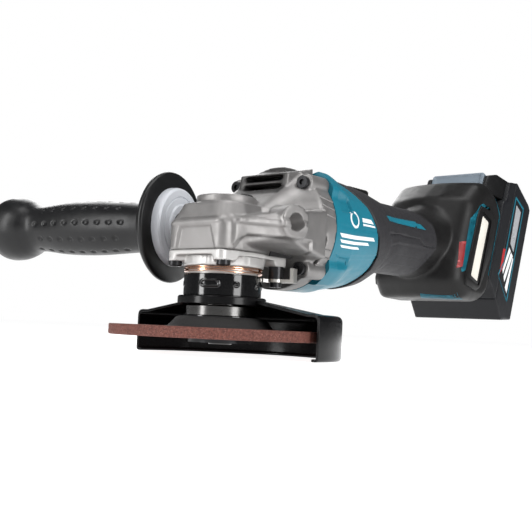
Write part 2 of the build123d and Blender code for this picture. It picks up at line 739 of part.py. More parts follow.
export_step(wheel_guard.part, "parts/wheel_guard.step")

notches, notch_depth = 7, 1.0
with BuildPart() as guard_collar:
    with BuildSketch(Plane.XY.offset(collar_low)):
        Circle(collar_radius + collar_wall)
        Circle(collar_radius, mode=Mode.SUBTRACT)
    extrude(amount=collar_top - collar_low)
    # notches that the lever's claw drops into
    with BuildSketch(Plane.XY.offset(collar_top - 5)):
        with PolarLocations(collar_radius + collar_wall, notches, start_angle=80, angular_range=130):
            Rectangle(2 * notch_depth, 4)
    extrude(amount=3, mode=Mode.SUBTRACT)
guard_collar.part.label = "guard_collar"
export_step(guard_collar.part, "parts/guard_collar.step")

# ================================================================ guard lever
lever_z, lever_thick, lever_reach = joint_z - plate_thick - 9.0, 1.8, 9.0
spacer_dia, claw_width = 9.0, 4.0
lever_out = Vector(lever_x, lever_y, 0).normalized()
tab_length, tab_height = 13.0, 6.5
with BuildPart() as guard_lever:
    lever_plane = Plane(origin=(lever_x, lever_y, lever_z), x_dir=lever_out, z_dir=(0, 0, 1))
    with BuildSketch(lever_plane):
        Circle(spacer_dia / 2 + 0.8)
        with Locations((-lever_reach / 2 + 0.5, 0)):
            Rectangle(lever_reach - 1.6, claw_width)
        with Locations((tab_length / 2 - 2, -3.5)):
            Rectangle(tab_length, 7, rotation=-35)
        Circle(plate_screw_dia / 2 + 0.6 + running, mode=Mode.SUBTRACT)
    extrude(amount=lever_thick)
    with BuildSketch(lever_plane.offset(lever_thick)):
        with Locations((tab_length / 2 + 2.2, -6.6)):
            Rectangle(2, 7, rotation=-35)
    extrude(amount=tab_height)
guard_lever.part.label = "guard_lever"
export_step(guard_lever.part, "parts/guard_lever.step")

spacer_low = lever_z + lever_thick + running
with BuildPart() as lever_spacer:
    with BuildSketch(Plane.XY.offset(spacer_low)):
        with Locations((lever_x, lever_y)):
            Circle(spacer_dia / 2)
            Circle(plate_screw_dia / 2 + seat, mode=Mode.SUBTRACT)
    extrude(amount=joint_z - plate_thick - spacer_low)
lever_spacer.part.label = "lever_spacer"
export_step(lever_spacer.part, "parts/lever_spacer.step")

with BuildPart(Plane.XY.offset(lever_z - running)) as lever_screw:
    with Locations((lever_x, lever_y)):
        Cylinder(plate_screw_head / 2, 2.8, align=downward)
        Cylinder(plate_screw_dia / 2 + 0.6, lever_thick + 2 * running, align=upward)
        Cylinder(plate_screw_dia / 2, joint_z - lever_z - 0.5, align=upward)
        with Locations((0, 0, -2.8)):
            Cylinder(1.9, 1.6, align=upward, mode=Mode.SUBTRACT)
lever_screw.part.label = "lever_screw"
export_step(lever_screw.part, "parts/lever_screw.step")

# ================================================================ side handle
handle_core_dia = 26.0
handle_axis = Axis(handle_plane().origin, handle_plane().z_dir)
handle_profile = Plane(origin=handle_plane().origin, x_dir=(0, 0, 1),
                       z_dir=Vector(0, 0, 1).cross(handle_plane().z_dir))
ring_at = handle_flange_at - ring_thick
stud_inside = 45.0
with BuildPart() as handle_stud:
    with BuildSketch(handle_plane(-stud_depth)):
        Circle(stud_dia / 2)
    extrude(amount=stud_depth + stud_inside)
    with BuildSketch(handle_plane(sliding)):
        RegularPolygon(8.5, 6)
    extrude(amount=ring_at - 1.5)
handle_stud.part.label = "handle_stud"
export_step(handle_stud.part, "parts/handle_stud.step")

ring_groove = 1.2
with BuildPart() as handle_ring:
    with BuildSketch(handle_plane(ring_at)):
        Circle(ring_dia / 2)
        Circle(handle_core_dia / 2 + seat, mode=Mode.SUBTRACT)
    extrude(amount=ring_thick - seat)
    with BuildSketch(handle_plane(ring_at)):
        Circle(ring_dia / 2 - 4)
        Circle(ring_dia / 2 - 4 - ring_groove, mode=Mode.SUBTRACT)
    extrude(amount=ring_groove, mode=Mode.SUBTRACT)
    chamfer(handle_ring.edges().filter_by(GeomType.CIRCLE).group_by(SortBy.RADIUS)[-1], 1.0)
handle_ring.part.label = "handle_ring"
export_step(handle_ring.part, "parts/handle_ring.step")

grip_from = handle_flange_at + handle_flange_thick
ball_length = 32.0
ball_from = grip_end - ball_length
ball_widest = ball_from + 15
socket_corner_radius = 8.5      # of the six-sided hole for the ring's hub
with BuildPart() as handle_grip:
    with BuildSketch(handle_profile):
        with BuildLine():
            Polyline(
                (0, grip_end), (0, ring_at), (handle_core_dia / 2, ring_at),
                (handle_core_dia / 2, handle_flange_at), (handle_flange_dia / 2 - 1, handle_flange_at),
                (handle_flange_dia / 2, handle_flange_at + 1.5),
                (handle_flange_dia / 2 - 1, grip_from), (grip_neck_dia / 2 + 5, grip_from + 1.5),
                (grip_neck_dia / 2 + 0.5, grip_from + 7),
            )
            Spline(
                (grip_neck_dia / 2 + 0.5, grip_from + 7),
                (grip_mid_dia / 2, (grip_from + ball_from) / 2),
                (grip_neck_dia / 2, ball_from - 2),
                (grip_ball_dia / 2, ball_widest),
                tangents=((0.1, 1), (0, 1)),
            )
            Line((grip_ball_dia / 2, ball_widest), (grip_ball_dia / 2 - 1.5, grip_end - 8))
            Spline(
                (grip_ball_dia / 2 - 1.5, grip_end - 8), (grip_ball_dia / 2 - 7, grip_end - 1.5),
                (0, grip_end),
                tangents=((-0.2, 1), (-1, 0)),
            )
        make_face()
    revolve(axis=handle_axis)
    with BuildSketch(handle_plane(0)):
        Circle(stud_dia / 2 + seat)
    extrude(amount=stud_inside + seat, mode=Mode.SUBTRACT)
    with BuildSketch(handle_plane(0)):
        RegularPolygon(socket_corner_radius + seat, 6)
    extrude(amount=sliding + ring_at - 1.5 + seat, mode=Mode.SUBTRACT)
handle_grip.part.label = "handle_grip"
export_step(handle_grip.part, "parts/handle_grip.step")

# ================================================================ motor housing and shells
split_normal = Vector(split_low_z - split_top_z, 0, split_top_x - split_low_x).normalized()
split_plane = Plane(origin=((split_top_x + split_low_x) / 2, 0, (split_top_z + split_low_z) / 2),
                    x_dir=(0, 1, 0), z_dir=split_normal)


def body_form(less):
    """The body from the motor to the rear housing, less deep than its outside."""
    sections = (
        (motor_front, axis_z, ring_radius),
        (motor_front - 20, axis_z, ring_radius),
        (motor_rear, motor_rear_z, motor_rear_radius),
        (body_start, body_z, body_radius),
        (body_end, body_z, body_radius),
        (flare_x, body_z + 2, flare_radius),
    )
    with BuildPart() as form:
        for start, height, radius in sections:
            with BuildSketch(across(start, height)):
                Circle(radius - less)
        loft(ruled=True)
    return form.part


def rear_outline(less):
    """Side outline of the rear housing in the leaning frame, drawn in by less."""
    return [
        (-rear_depth + less, 14), (-rear_depth + less, 4 - rear_foot),
        (6 - rear_depth + less, -14 - rear_foot + 1.6 * less), (-6, -5 - rear_foot + 1.2 * less),
        (-less, 2 - rear_foot + less), (-less, rear_head - 14 - less / 2),
        (-14 - less / 2, rear_head - 2 - less), (-28, rear_head - 3 - 1.2 * less),
        (8 - rear_depth, rear_head - 11 - 1.4 * less),
    ]


def rear_form(less):
    """Block of the rear housing, drawn in by less."""
    with BuildPart() as form:
        with BuildSketch(side_plane(less - rear_half_width)):
            with BuildLine():
                Polyline(*rear_outline(less), close=True)
            make_face()
        extrude(amount=2 * (rear_half_width - less))
    return form.part


cup_back = rear_bearing_x - motor_bearing_width - 2.5
with BuildPart() as motor_housing:
    add(body_form(0))
    with BuildSketch(across(motor_front)):
        with Locations(*corner_places):
            Circle(ear_dia / 2)
    extrude(amount=20)
    split(bisect_by=split_plane, keep=Keep.BOTTOM)
    with BuildSketch(across(stator_back)):
        Circle(cup_radius)
    extrude(amount=stator_back - cup_back)
    # fan mouth, seat of the stator, cup round the windings, seat of the rear bearing
    for start, end, radius in (
        (motor_front, stator_back, stator_dia / 2 + seat),
        (stator_back, rear_bearing_x + 1.5, cup_radius - cup_wall),
        (rear_bearing_x + 2, rear_bearing_x - motor_bearing_width, motor_bearing_dia / 2 + seat),
        (rear_bearing_x, cup_back - 1, shaft_dia / 2 + 1),
    ):
        with BuildSketch(across(start)):
            Circle(radius)
        extrude(amount=start - end, mode=Mode.SUBTRACT)
    with BuildSketch(across(motor_front)):
        with Locations(*corner_places):
            Circle(screw_dia / 2 + seat)
    extrude(amount=13, mode=Mode.SUBTRACT)
motor_housing.part.label = "motor_housing"
export_step(motor_housing.part, "parts/motor_housing.step")

baffle_hole, baffle_thick = 28.0, 1.5
with BuildPart() as fan_baffle:
    with BuildSketch(across(motor_front - 1)):
        Circle(stator_dia / 2)
        Circle(baffle_hole / 2, mode=Mode.SUBTRACT)
    extrude(amount=baffle_thick)
fan_baffle.part.label = "fan_baffle"
export_step(fan_baffle.part, "parts/fan_baffle.step")

# openings in the shells: switch on top, dust filters at the sides, pocket of the battery
floor_wall = 4.5
pocket_depth = rail_depth + sliding
rail_neck, rail_lip = 8.0, 5.0
hook_width, hook_height, hook_t, hook_reach = 14.0, 5.0, 14.5, 2.5
pad_z, pad_rim, pad_thick = 102.0, 1.0, 2.1
slider_front, slider_length, slider_width, slider_top = -111.5, 26.0, 15.0, 107.0
stem_front, stem_length, stem_width, switch_travel = -127.0, 5.0, 5.0, 8.0
pad_front = slider_front + switch_travel + 2 * sliding + pad_rim
pad_back = slider_front - slider_length - 3.5 - pad_rim
switch_front, switch_length, switch_width, switch_height, switch_z = -126.0, 22.0, 16.0, 11.0, 88.5
filter_s, filter_t, filter_width, filter_length, filter_thick = -23.5, -21.5, 16.0, 54.0, 3.4
block_s, block_depth, block_height, block_width = -8.0, 9.0, 6.0, 44.0
controller_thick, controller_low, controller_high, controller_width = 18.0, -46.0, 8.0, 56.0
shell_screw_dia, shell_screw_head = 3.0, 5.6
shell_screw_places = [(-162.0, 62.5), (-192.0, 91.0), (-221.0, 49.0), (-252.0, 119.0)]
trim_depth, trim_proud = 1.2, 0.3
trim_outline = [(-136.0, 85.5), (-134.0, 91.5), (-172.0, 91.0), (-187.0, 85.5), (-180.0, 84.5)]


def battery_pocket(grow):
    """Room for the battery's rails, open upwards, larger by grow on every wall."""
    bottom = rail_low - sliding - grow
    reach = rear_head + 60 - bottom
    with BuildPart() as pocket:
        with BuildSketch(seat_plane(-pocket_depth - grow, bottom + reach / 2)):
            Rectangle(rail_width + 2 * sliding + 2 * grow, reach)
        extrude(amount=pocket_depth - rail_neck + sliding + 2 * grow)
        with BuildSketch(seat_plane(-rail_neck, bottom + reach / 2)):
            Rectangle(rail_width - 2 * rail_lip + 2 * sliding + 2 * grow, reach)
        extrude(amount=rail_neck + rear_depth / 2)
    return pocket.part


def filter_block(side, grow, inner, outer):
    """Slanting block of a dust filter, between two distances from the middle."""
    with BuildPart() as block:
        with BuildSketch(side_plane(side * inner)):
            with Locations((filter_s, filter_t)):
                RectangleRounded(filter_width + 2 * grow, filter_length + 2 * grow, 3 + grow)
        extrude(amount=side * (outer - inner))
    return block.part


def trim_block(side, grow):
    """Outline of the coloured strip on the grip, run out to one side."""
    with BuildPart() as block:
        with BuildSketch(Plane.XZ):
            with BuildLine():
                Polyline(*trim_outline, close=True)
            make_face()
            offset(amount=grow)
        extrude(amount=-side * 2 * body_radius)
    return block.part


def switch_ribs():
    """Ribs that hold the switch between the two shells."""
    with BuildPart() as ribs:
        with BuildSketch(across(switch_front - 4, switch_z)):
            Rectangle(4 * body_radius, 4)
            Rectangle(switch_width + 2 * seat, 5, mode=Mode.SUBTRACT)
        extrude(amount=switch_length - 8)
        add(body_form(shell_wall * 0.7), mode=Mode.INTERSECT)
    return ribs.part


with BuildPart() as body_shells:
    add(body_form(0))
    split(bisect_by=split_plane, keep=Keep.TOP)
    add(rear_form(0))
with BuildPart() as shell_room:
    add(body_form(shell_wall))
    add(rear_form(shell_wall))
    add(battery_pocket(floor_wall), mode=Mode.SUBTRACT)
with BuildPart() as shells:
    add(body_shells.part)
    add(shell_room.part, mode=Mode.SUBTRACT)
    # pad under the switch slider, ribs round the switch and bosses of the shell screws
    with BuildSketch(Plane.XY.offset(pad_z - pad_thick)):
        with Locations(((pad_front + pad_back) / 2, 0)):
            Rectangle(pad_front - pad_back, slider_width + 6)
    extrude(amount=pad_thick)
    add(switch_ribs())
    with BuildSketch(Plane.XZ.offset(-rear_half_width + shell_wall)):
        with Locations(*shell_screw_places[2:]):
            Circle(shell_screw_dia + 0.8)
    extrude(amount=2 * (rear_half_width - shell_wall))
    with BuildSketch(Plane.XZ.offset(-body_radius * 0.72)):
        with Locations(*shell_screw_places[:2]):
            Circle(shell_screw_dia + 0.8)
    extrude(amount=2 * body_radius * 0.72)
    # pocket with the groove of the latch hook, and the terminal block's mouth
    add(battery_pocket(0), mode=Mode.SUBTRACT)
    with BuildSketch(seat_plane(-rail_depth - hook_reach - sliding,
                                hook_t - hook_height / 2 - sliding + rear_head / 2)):
        Rectangle(hook_width + 2 * sliding, rear_head)
    extrude(amount=rail_depth, mode=Mode.SUBTRACT)
    with BuildSketch(seat_plane(block_s - block_depth / 2 - seat, rail_low - sliding - block_height / 2)):
        Rectangle(block_width + 2 * seat, block_height + 2 * seat)
    extrude(amount=block_depth + 2 * seat, mode=Mode.SUBTRACT)
    # pad's recess and the slot of the switch stem
    with BuildSketch(Plane.XY.offset(pad_z)):
        with Locations(((pad_front + pad_back) / 2, 0)):
            Rectangle(pad_front - pad_back - 2 * pad_rim, slider_width + 2 * sliding)
    extrude(amount=slider_top - pad_z + 5, mode=Mode.SUBTRACT)
    with BuildSketch(Plane.XY.offset(pad_z - 2 * pad_thick)):
        with Locations((stem_front + (switch_travel - stem_length) / 2, 0)):
            Rectangle(stem_length + switch_travel + 2 * sliding, stem_width + 2 * sliding)
    extrude(amount=4 * pad_thick, mode=Mode.SUBTRACT)
    # windows of the filters, recesses of the coloured strips, holes of the screws
    for side in (-1, 1):
        add(filter_block(side, sliding, rear_half_width - 2 * shell_wall, rear_half_width + 1),
            mode=Mode.SUBTRACT)
    with BuildSketch(Plane.XZ.offset(rear_half_width + 1)):
        with Locations(*shell_screw_places):
            Circle(shell_screw_dia / 2 + seat)
    extrude(amount=-rear_half_width - 10, mode=Mode.SUBTRACT)
    with BuildSketch(Plane.XZ.offset(rear_half_width + 1)):
        with Locations(*shell_screw_places):
            Circle(shell_screw_head / 2 + 0.2)
    extrude(amount=-rear_half_width + 8, mode=Mode.SUBTRACT)

for side, name, kept in ((1, "left", Keep.BOTTOM), (-1, "right", Keep.TOP)):
    with BuildPart() as body_shell:
        add(shells.part)
        split(bisect_by=Plane.XZ, keep=kept)
        add(trim_block(side, seat).intersect(body_shells.part) - body_form(trim_depth), mode=Mode.SUBTRACT)
    body_shell.part.label = f"body_shell_{name}"
    export_step(body_shell.part, f"parts/body_shell_{name}.step")
    with BuildPart() as grip_trim:
        add(body_form(-trim_proud))
        add(body_form(trim_depth), mode=Mode.SUBTRACT)
        add(trim_block(side, 0), mode=Mode.INTERSECT)
    grip_trim.part.label = f"grip_trim_{name}"
    export_step(grip_trim.part, f"parts/grip_trim_{name}.step")
    with BuildPart() as dust_filter:
        face = rear_half_width + 0.4
        add(filter_block(side, 0, face - filter_thick, face))
        add(filter_block(side, -2.2, face - 1, face + 1), mode=Mode.SUBTRACT)
    dust_filter.part.label = f"filter_frame_{name}"
    export_step(dust_filter.part, f"parts/filter_frame_{name}.step")
    with BuildPart() as filter_mesh:
        add(filter_block(side, -2.2 - seat, face - 1, face - 0.3))
    filter_mesh.part.label = f"filter_mesh_{name}"
    export_step(filter_mesh.part, f"parts/filter_mesh_{name}.step")

with BuildPart() as shell_screws:
    with BuildSketch(Plane.XZ.offset(9 + 2.4)):
        with Locations(*shell_screw_places):
            Circle(shell_screw_head / 2)
    extrude(amount=-2.4)
    with BuildSketch(Plane.XZ.offset(9)):
        with Locations(*shell_screw_places):
            Circle(shell_screw_dia / 2)
    extrude(amount=-9 - 8)
shell_screws.part.label = "shell_screws"
export_step(shell_screws.part, "parts/shell_screws.step")

# ================================================================ switch and electronics
slider_low = pad_z + sliding
with BuildPart() as slide_switch:
    with BuildSketch(Plane.XY.offset(slider_low)):
        with Locations((slider_front - slider_length / 2, 0)):
            RectangleRounded(slider_length, slider_width, 3)
    extrude(amount=slider_top - slider_low)
    chamfer(slide_switch.faces().sort_by(Axis.Z)[-1].edges(), 1.2)
    # finger grooves across the top
    with BuildSketch(Plane.XY.offset(slider_top - 0.8)):
        with GridLocations(3.2, 1, 5, 1):
            with Locations((slider_front - slider_length / 2, 0)):
                Rectangle(1.2, slider_width)
    extrude(amount=2, mode=Mode.SUBTRACT)
    with BuildSketch(Plane.XY.offset(slider_low)):
        with Locations((stem_front - stem_length / 2, 0)):
            Rectangle(stem_length, stem_width)
    extrude(amount=-(slider_low - switch_z - switch_height / 2 - sliding))
slide_switch.part.label = "slide_switch"
export_step(slide_switch.part, "parts/slide_switch.step")

with BuildPart() as switch_body:
    with BuildSketch(across(switch_front, switch_z)):
        Rectangle(switch_width, switch_height)
    extrude(amount=switch_length)
    fillet(switch_body.edges().filter_by(Axis.X), 1)
switch_body.part.label = "switch_body"
export_step(switch_body.part, "parts/switch_body.step")

controller_back = -pocket_depth - floor_wall - seat
controller_middle = (controller_low + controller_high) / 2
controller_height = controller_high - controller_low
fins, fin_depth, fin_gap = 6, 4.0, 3.0
with BuildPart() as controller:
    with BuildSketch(seat_plane(controller_back - controller_thick, controller_middle)):
        Rectangle(controller_width, controller_height)
    extrude(amount=controller_thick)
    with BuildSketch(seat_plane(controller_back - controller_thick, controller_middle)):
        with GridLocations(controller_width / fins, 1, fins - 1, 1):
            Rectangle(fin_gap, controller_height)
    extrude(amount=fin_depth, mode=Mode.SUBTRACT)
controller.part.label = "controller"
export_step(controller.part, "parts/controller.step")

blade_places, blade_thick, blade_width, blade_length = (-16.0, -6.0, 6.0, 16.0), 0.8, 5.0, 14.0
blade_root = 3.0
block_middle = rail_low - sliding - block_height / 2
with BuildPart() as terminal_block:
    with BuildSketch(seat_plane(block_s - block_depth / 2, block_middle)):
        Rectangle(block_width, block_height)
    extrude(amount=block_depth)
    with BuildSketch(seat_plane(block_s - blade_width / 2 - seat, rail_low - sliding - blade_root / 2)):
        for place in blade_places:
            with Locations((place, 0)):
                Rectangle(blade_thick + 2 * seat, blade_root + seat)
    extrude(amount=blade_width + 2 * seat, mode=Mode.SUBTRACT)
terminal_block.part.label = "terminal_block"
export_step(terminal_block.part, "parts/terminal_block.step")

with BuildPart() as terminal_blades:
    blade_middle = rail_low - sliding - blade_root + blade_length / 2
    with BuildSketch(seat_plane(block_s - blade_width / 2, blade_middle)):
        for place in blade_places:
            with Locations((place, 0)):
                Rectangle(blade_thick, blade_length)
    extrude(amount=blade_width)
terminal_blades.part.label = "terminal_blades"
export_step(terminal_blades.part, "parts/terminal_blades.step")

# ================================================================ battery
case_split = 17.0               # seam between the case's two halves, from the seat
latch_shelf = 34.0
button_front, button_back = -12.0, 1.0
latch_travel = hook_reach + sliding + 0.5
case_step = button_back + latch_travel + 2 * sliding
battery_half_width = rear_half_width
latch_depth, latch_button_width, latch_button_low, latch_button_high = 7.0, 46.0, 37.5, 52.0
latch_front = -rail_depth + 1.5
latch_spring_dia, latch_wire = 3.6, 0.6
case_outline = [
    (battery_gap, latch_shelf - 4), (battery_gap, battery_low + 21), (9, battery_low + 17),
    (32, battery_low), (battery_depth, battery_low + 7), (battery_depth, battery_high - 9),
    (battery_depth - 4, battery_high - 6), (18, battery_high), (case_step, battery_high - 6),
    (case_step, latch_shelf), (battery_gap + 2, latch_shelf),
]
slot_depth = latch_travel + sliding


def case_form(less):
    """Solid form of the battery case, drawn in by less."""
    with BuildPart() as form:
        with BuildSketch(side_plane(less - battery_half_width)):
            with BuildLine():
                Polyline(*case_outline, close=True)
            make_face()
            if less:
                offset(amount=-less, kind=Kind.INTERSECTION)
        extrude(amount=2 * (battery_half_width - less))
    return form.part


with BuildPart() as battery_case:
    add(case_form(0))
    add(case_form(battery_wall), mode=Mode.SUBTRACT)
    # rails: a head under the housing's lips, on a narrower neck
    rail_middle, rail_length = (rail_low + rail_high) / 2, rail_high - rail_low
    with BuildSketch(seat_plane(-rail_depth, rail_middle)):
        Rectangle(rail_width, rail_length)
    extrude(amount=rail_depth - rail_neck)
    with BuildSketch(seat_plane(-rail_neck, rail_middle)):
        Rectangle(rail_width - 2 * rail_lip, rail_length)
    extrude(amount=rail_neck + battery_gap + seat)
    # channel of the latch, open in front and on top, and mouths of the terminals
    with BuildSketch(seat_plane(-rail_depth - 1, hook_t - hook_height / 2 - sliding + rail_length / 2)):
        Rectangle(hook_width + 2 * sliding, rail_length)
    extrude(amount=1 + rail_depth + latch_front + latch_depth + slot_depth, mode=Mode.SUBTRACT)
    with BuildSketch(seat_plane(block_s - blade_width / 2 - sliding, rail_low + blade_length / 2 - 1)):
        for place in blade_places:
            with Locations((place, 0)):
                Rectangle(blade_thick + 2 * sliding, blade_length + 2)
    extrude(amount=blade_width + 2 * sliding, mode=Mode.SUBTRACT)

with BuildPart() as battery_case_upper:
    add(battery_case.part)
    split(bisect_by=seat_plane(case_split), keep=Keep.BOTTOM)
battery_case_upper.part.label = "battery_case_upper"
export_step(battery_case_upper.part, "parts/battery_case_upper.step")

with BuildPart() as battery_case_lower:
    add(battery_case.part)
    split(bisect_by=seat_plane(case_split), keep=Keep.TOP)
battery_case_lower.part.label = "battery_case_lower"
export_step(battery_case_lower.part, "parts/battery_case_lower.step")

latch_low = hook_t - hook_height / 2
with BuildPart() as battery_latch:
    with BuildSketch(seat_plane(latch_front, (latch_low + latch_button_low + 2) / 2)):
        Rectangle(hook_width, latch_button_low + 2 - latch_low)
    extrude(amount=latch_depth)
    with BuildSketch(seat_plane(-rail_depth - hook_reach, hook_t)):
        Rectangle(hook_width, hook_height)
    extrude(amount=rail_depth + hook_reach + latch_front)
    with BuildSketch(seat_plane(button_front, (latch_button_low + latch_button_high) / 2)):
        RectangleRounded(latch_button_width, latch_button_high - latch_button_low, 2)
    extrude(amount=button_back - button_front)
    with BuildSketch(seat_plane(latch_front + latch_depth, hook_t + 6)):
        Circle(latch_spring_dia / 2 + latch_wire)
    extrude(amount=-latch_travel - 1, mode=Mode.SUBTRACT)
battery_latch.part.label = "battery_latch"
export_step(battery_latch.part, "parts/battery_latch.step")

latch_spring_length = slot_depth - latch_wire - 5 * seat
with BuildPart() as latch_spring:
    spring_end = seat_plane(latch_front + latch_depth + 2 * seat + latch_wire / 2, hook_t + 6)
    with BuildLine() as coil:
        Helix(latch_spring_length / 3, latch_spring_length, latch_spring_dia / 2,
              center=spring_end.origin, direction=back)
    with BuildSketch(Plane(origin=coil.line @ 0, z_dir=coil.line % 0)):
        Circle(latch_wire / 2)
    sweep(is_frenet=True)
latch_spring.part.label = "latch_spring"
export_step(latch_spring.part, "parts/latch_spring.step")

cell_pitch = cell_dia + 0.6
cell_rows = ((17.0, battery_low + 25.5), (35.8, battery_low + 20.5))
with BuildPart() as battery_cells:
    with BuildSketch(side_plane(-cell_length / 2)):
        for depth, first in cell_rows:
            for place in range(cells_wide):
                with Locations((depth, first + place * cell_pitch)):
                    Circle(cell_dia / 2)
    extrude(amount=cell_length)
battery_cells.part.label = "battery_cells"
export_step(battery_cells.part, "parts/battery_cells.step")

with BuildPart() as battery_board:
    with BuildSketch(seat_plane(battery_gap + battery_wall + seat, 0)):
        Rectangle(battery_half_width * 1.5, latch_shelf + 20)
    extrude(amount=board_thick)
battery_board.part.label = "battery_board"
export_step(battery_board.part, "parts/battery_board.step")
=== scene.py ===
import bmesh
import bpy
import json
from math import asin, atan2, cos, degrees, pi, radians, sin, sqrt
from mathutils import Matrix, Vector, noise


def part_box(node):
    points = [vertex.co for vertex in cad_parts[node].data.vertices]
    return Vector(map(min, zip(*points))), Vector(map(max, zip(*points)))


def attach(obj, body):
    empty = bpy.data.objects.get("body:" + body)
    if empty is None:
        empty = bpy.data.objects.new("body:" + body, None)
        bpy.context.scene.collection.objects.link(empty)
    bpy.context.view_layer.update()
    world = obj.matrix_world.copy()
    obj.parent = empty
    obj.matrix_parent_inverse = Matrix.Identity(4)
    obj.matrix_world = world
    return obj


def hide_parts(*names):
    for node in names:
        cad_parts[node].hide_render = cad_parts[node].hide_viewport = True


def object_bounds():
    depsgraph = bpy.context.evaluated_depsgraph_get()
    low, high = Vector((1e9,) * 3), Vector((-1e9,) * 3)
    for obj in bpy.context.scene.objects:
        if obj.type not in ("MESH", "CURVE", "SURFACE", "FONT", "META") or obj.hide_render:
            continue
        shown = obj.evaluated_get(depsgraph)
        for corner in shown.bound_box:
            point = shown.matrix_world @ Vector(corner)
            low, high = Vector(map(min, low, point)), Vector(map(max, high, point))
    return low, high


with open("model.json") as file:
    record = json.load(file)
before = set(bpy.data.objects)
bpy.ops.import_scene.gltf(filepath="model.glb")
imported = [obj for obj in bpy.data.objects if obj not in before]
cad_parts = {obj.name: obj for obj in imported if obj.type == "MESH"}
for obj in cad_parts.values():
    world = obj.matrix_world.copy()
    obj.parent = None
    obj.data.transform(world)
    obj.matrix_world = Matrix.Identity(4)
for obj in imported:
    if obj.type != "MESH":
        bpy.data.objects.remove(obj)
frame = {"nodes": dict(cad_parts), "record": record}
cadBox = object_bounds()
mm = 0.001


# ---- small helpers

def mix(a, b, share):
    return a + (b - a) * share


def cadNode(name):
    return frame["nodes"][name]


def bodyOf(node):
    # the body that a CAD node rides on
    return next(name for name, nodes in frame["record"]["behaviour"]["bodies"].items() if node in nodes)


def finishMesh(name, bm, material, body, nodes=(), smooth=35):
    # turns a bmesh into a piece that rides on a body and stands for CAD nodes
    bmesh.ops.remove_doubles(bm, verts=bm.verts, dist=1e-6)
    bmesh.ops.recalc_face_normals(bm, faces=bm.faces)
    mesh = bpy.data.meshes.new(name)
    bm.to_mesh(mesh)
    bm.free()
    mesh.materials.append(material)
    piece = bpy.data.objects.new(name, mesh)
    bpy.context.collection.objects.link(piece)
    mesh.shade_smooth()
    if smooth:
        mesh.set_sharp_from_angle(angle=radians(smooth))
    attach(piece, body)
    if nodes:
        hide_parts(*nodes)
    return piece


def mergeInto(bm, part):
    # adds one bmesh to another and frees it
    mesh = bpy.data.meshes.new("part")
    part.to_mesh(mesh)
    part.free()
    bm.from_mesh(mesh)
    bpy.data.meshes.remove(mesh)


def bakeMesh(piece):
    # gives a piece the mesh that its modifiers make of it
    bpy.context.view_layer.update()
    made = bpy.data.meshes.new_from_object(piece.evaluated_get(bpy.context.evaluated_depsgraph_get()))
    piece.modifiers.clear()
    made.name = piece.name
    piece.data = made


def evenOut(piece, voxel, rounds):
    # one closed skin over all that the piece holds, its edges softened
    remesh = piece.modifiers.new("even", "REMESH")
    remesh.mode = "VOXEL"
    remesh.voxel_size = voxel * mm
    soften = piece.modifiers.new("soften", "SMOOTH")
    soften.factor = 0.5
    soften.iterations = rounds
    bakeMesh(piece)
    piece.data.shade_smooth()


def softCopy(name, node, material, body, voxel=1.0, rounds=6, extra=None):
    # a CAD solid with the soft edges of a casting or moulding, and what else is cast on
    bm = bmesh.new()
    bm.from_mesh(cadNode(node).data)
    if extra:
        mergeInto(bm, extra)
    bmesh.ops.remove_doubles(bm, verts=bm.verts, dist=1e-6)
    mesh = bpy.data.meshes.new(name)
    bm.to_mesh(mesh)
    bm.free()
    mesh.materials.append(material)
    piece = bpy.data.objects.new(name, mesh)
    bpy.context.collection.objects.link(piece)
    evenOut(piece, voxel, rounds)
    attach(piece, body)
    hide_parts(node)
    print("soft copy", name, len(piece.data.polygons))
    return piece


# ---- materials

def newMaterial(name):
    material = bpy.data.materials.new(name)
    material.use_nodes = True
    tree = material.node_tree
    shader = tree.nodes["Principled BSDF"]
    place = tree.nodes.new("ShaderNodeTexCoord")
    return material, tree, shader, place.outputs["Object"]


def addNode(tree, kind, inputs=(), **settings):
    # a shader node; an input takes either a value or the output it is linked to
    node = tree.nodes.new(kind)
    for name, value in settings.items():
        setattr(node, name, value)
    for key, value in dict(inputs).items():
        if isinstance(value, bpy.types.NodeSocket):
            tree.links.new(value, node.inputs[key])
        else:
            node.inputs[key].default_value = value
    return node


def noiseNode(tree, coords, scale, detail=3.0, roughness=0.55):
    return addNode(tree, "ShaderNodeTexNoise", {
        "Scale": scale, "Detail": detail, "Roughness": roughness, "Vector": coords}).outputs["Fac"]


def rampNode(tree, value, stops):
    node = addNode(tree, "ShaderNodeValToRGB", {"Fac": value})
    ramp = node.color_ramp
    for element, (position, colour) in zip(ramp.elements, (stops[0], stops[-1])):
        element.position = position
        element.color = (*colour, 1)
    for position, colour in stops[1:-1]:
        ramp.elements.new(position).color = (*colour, 1)
    return node.outputs["Color"]


def bumpNode(tree, height, shader, strength, distance):
    node = addNode(tree, "ShaderNodeBump", {
        "Strength": strength, "Distance": distance * mm, "Height": height})
    tree.links.new(node.outputs["Normal"], shader.inputs["Normal"])


def shade(colour, factor):
    return tuple(min(1.0, part * factor) for part in colour)


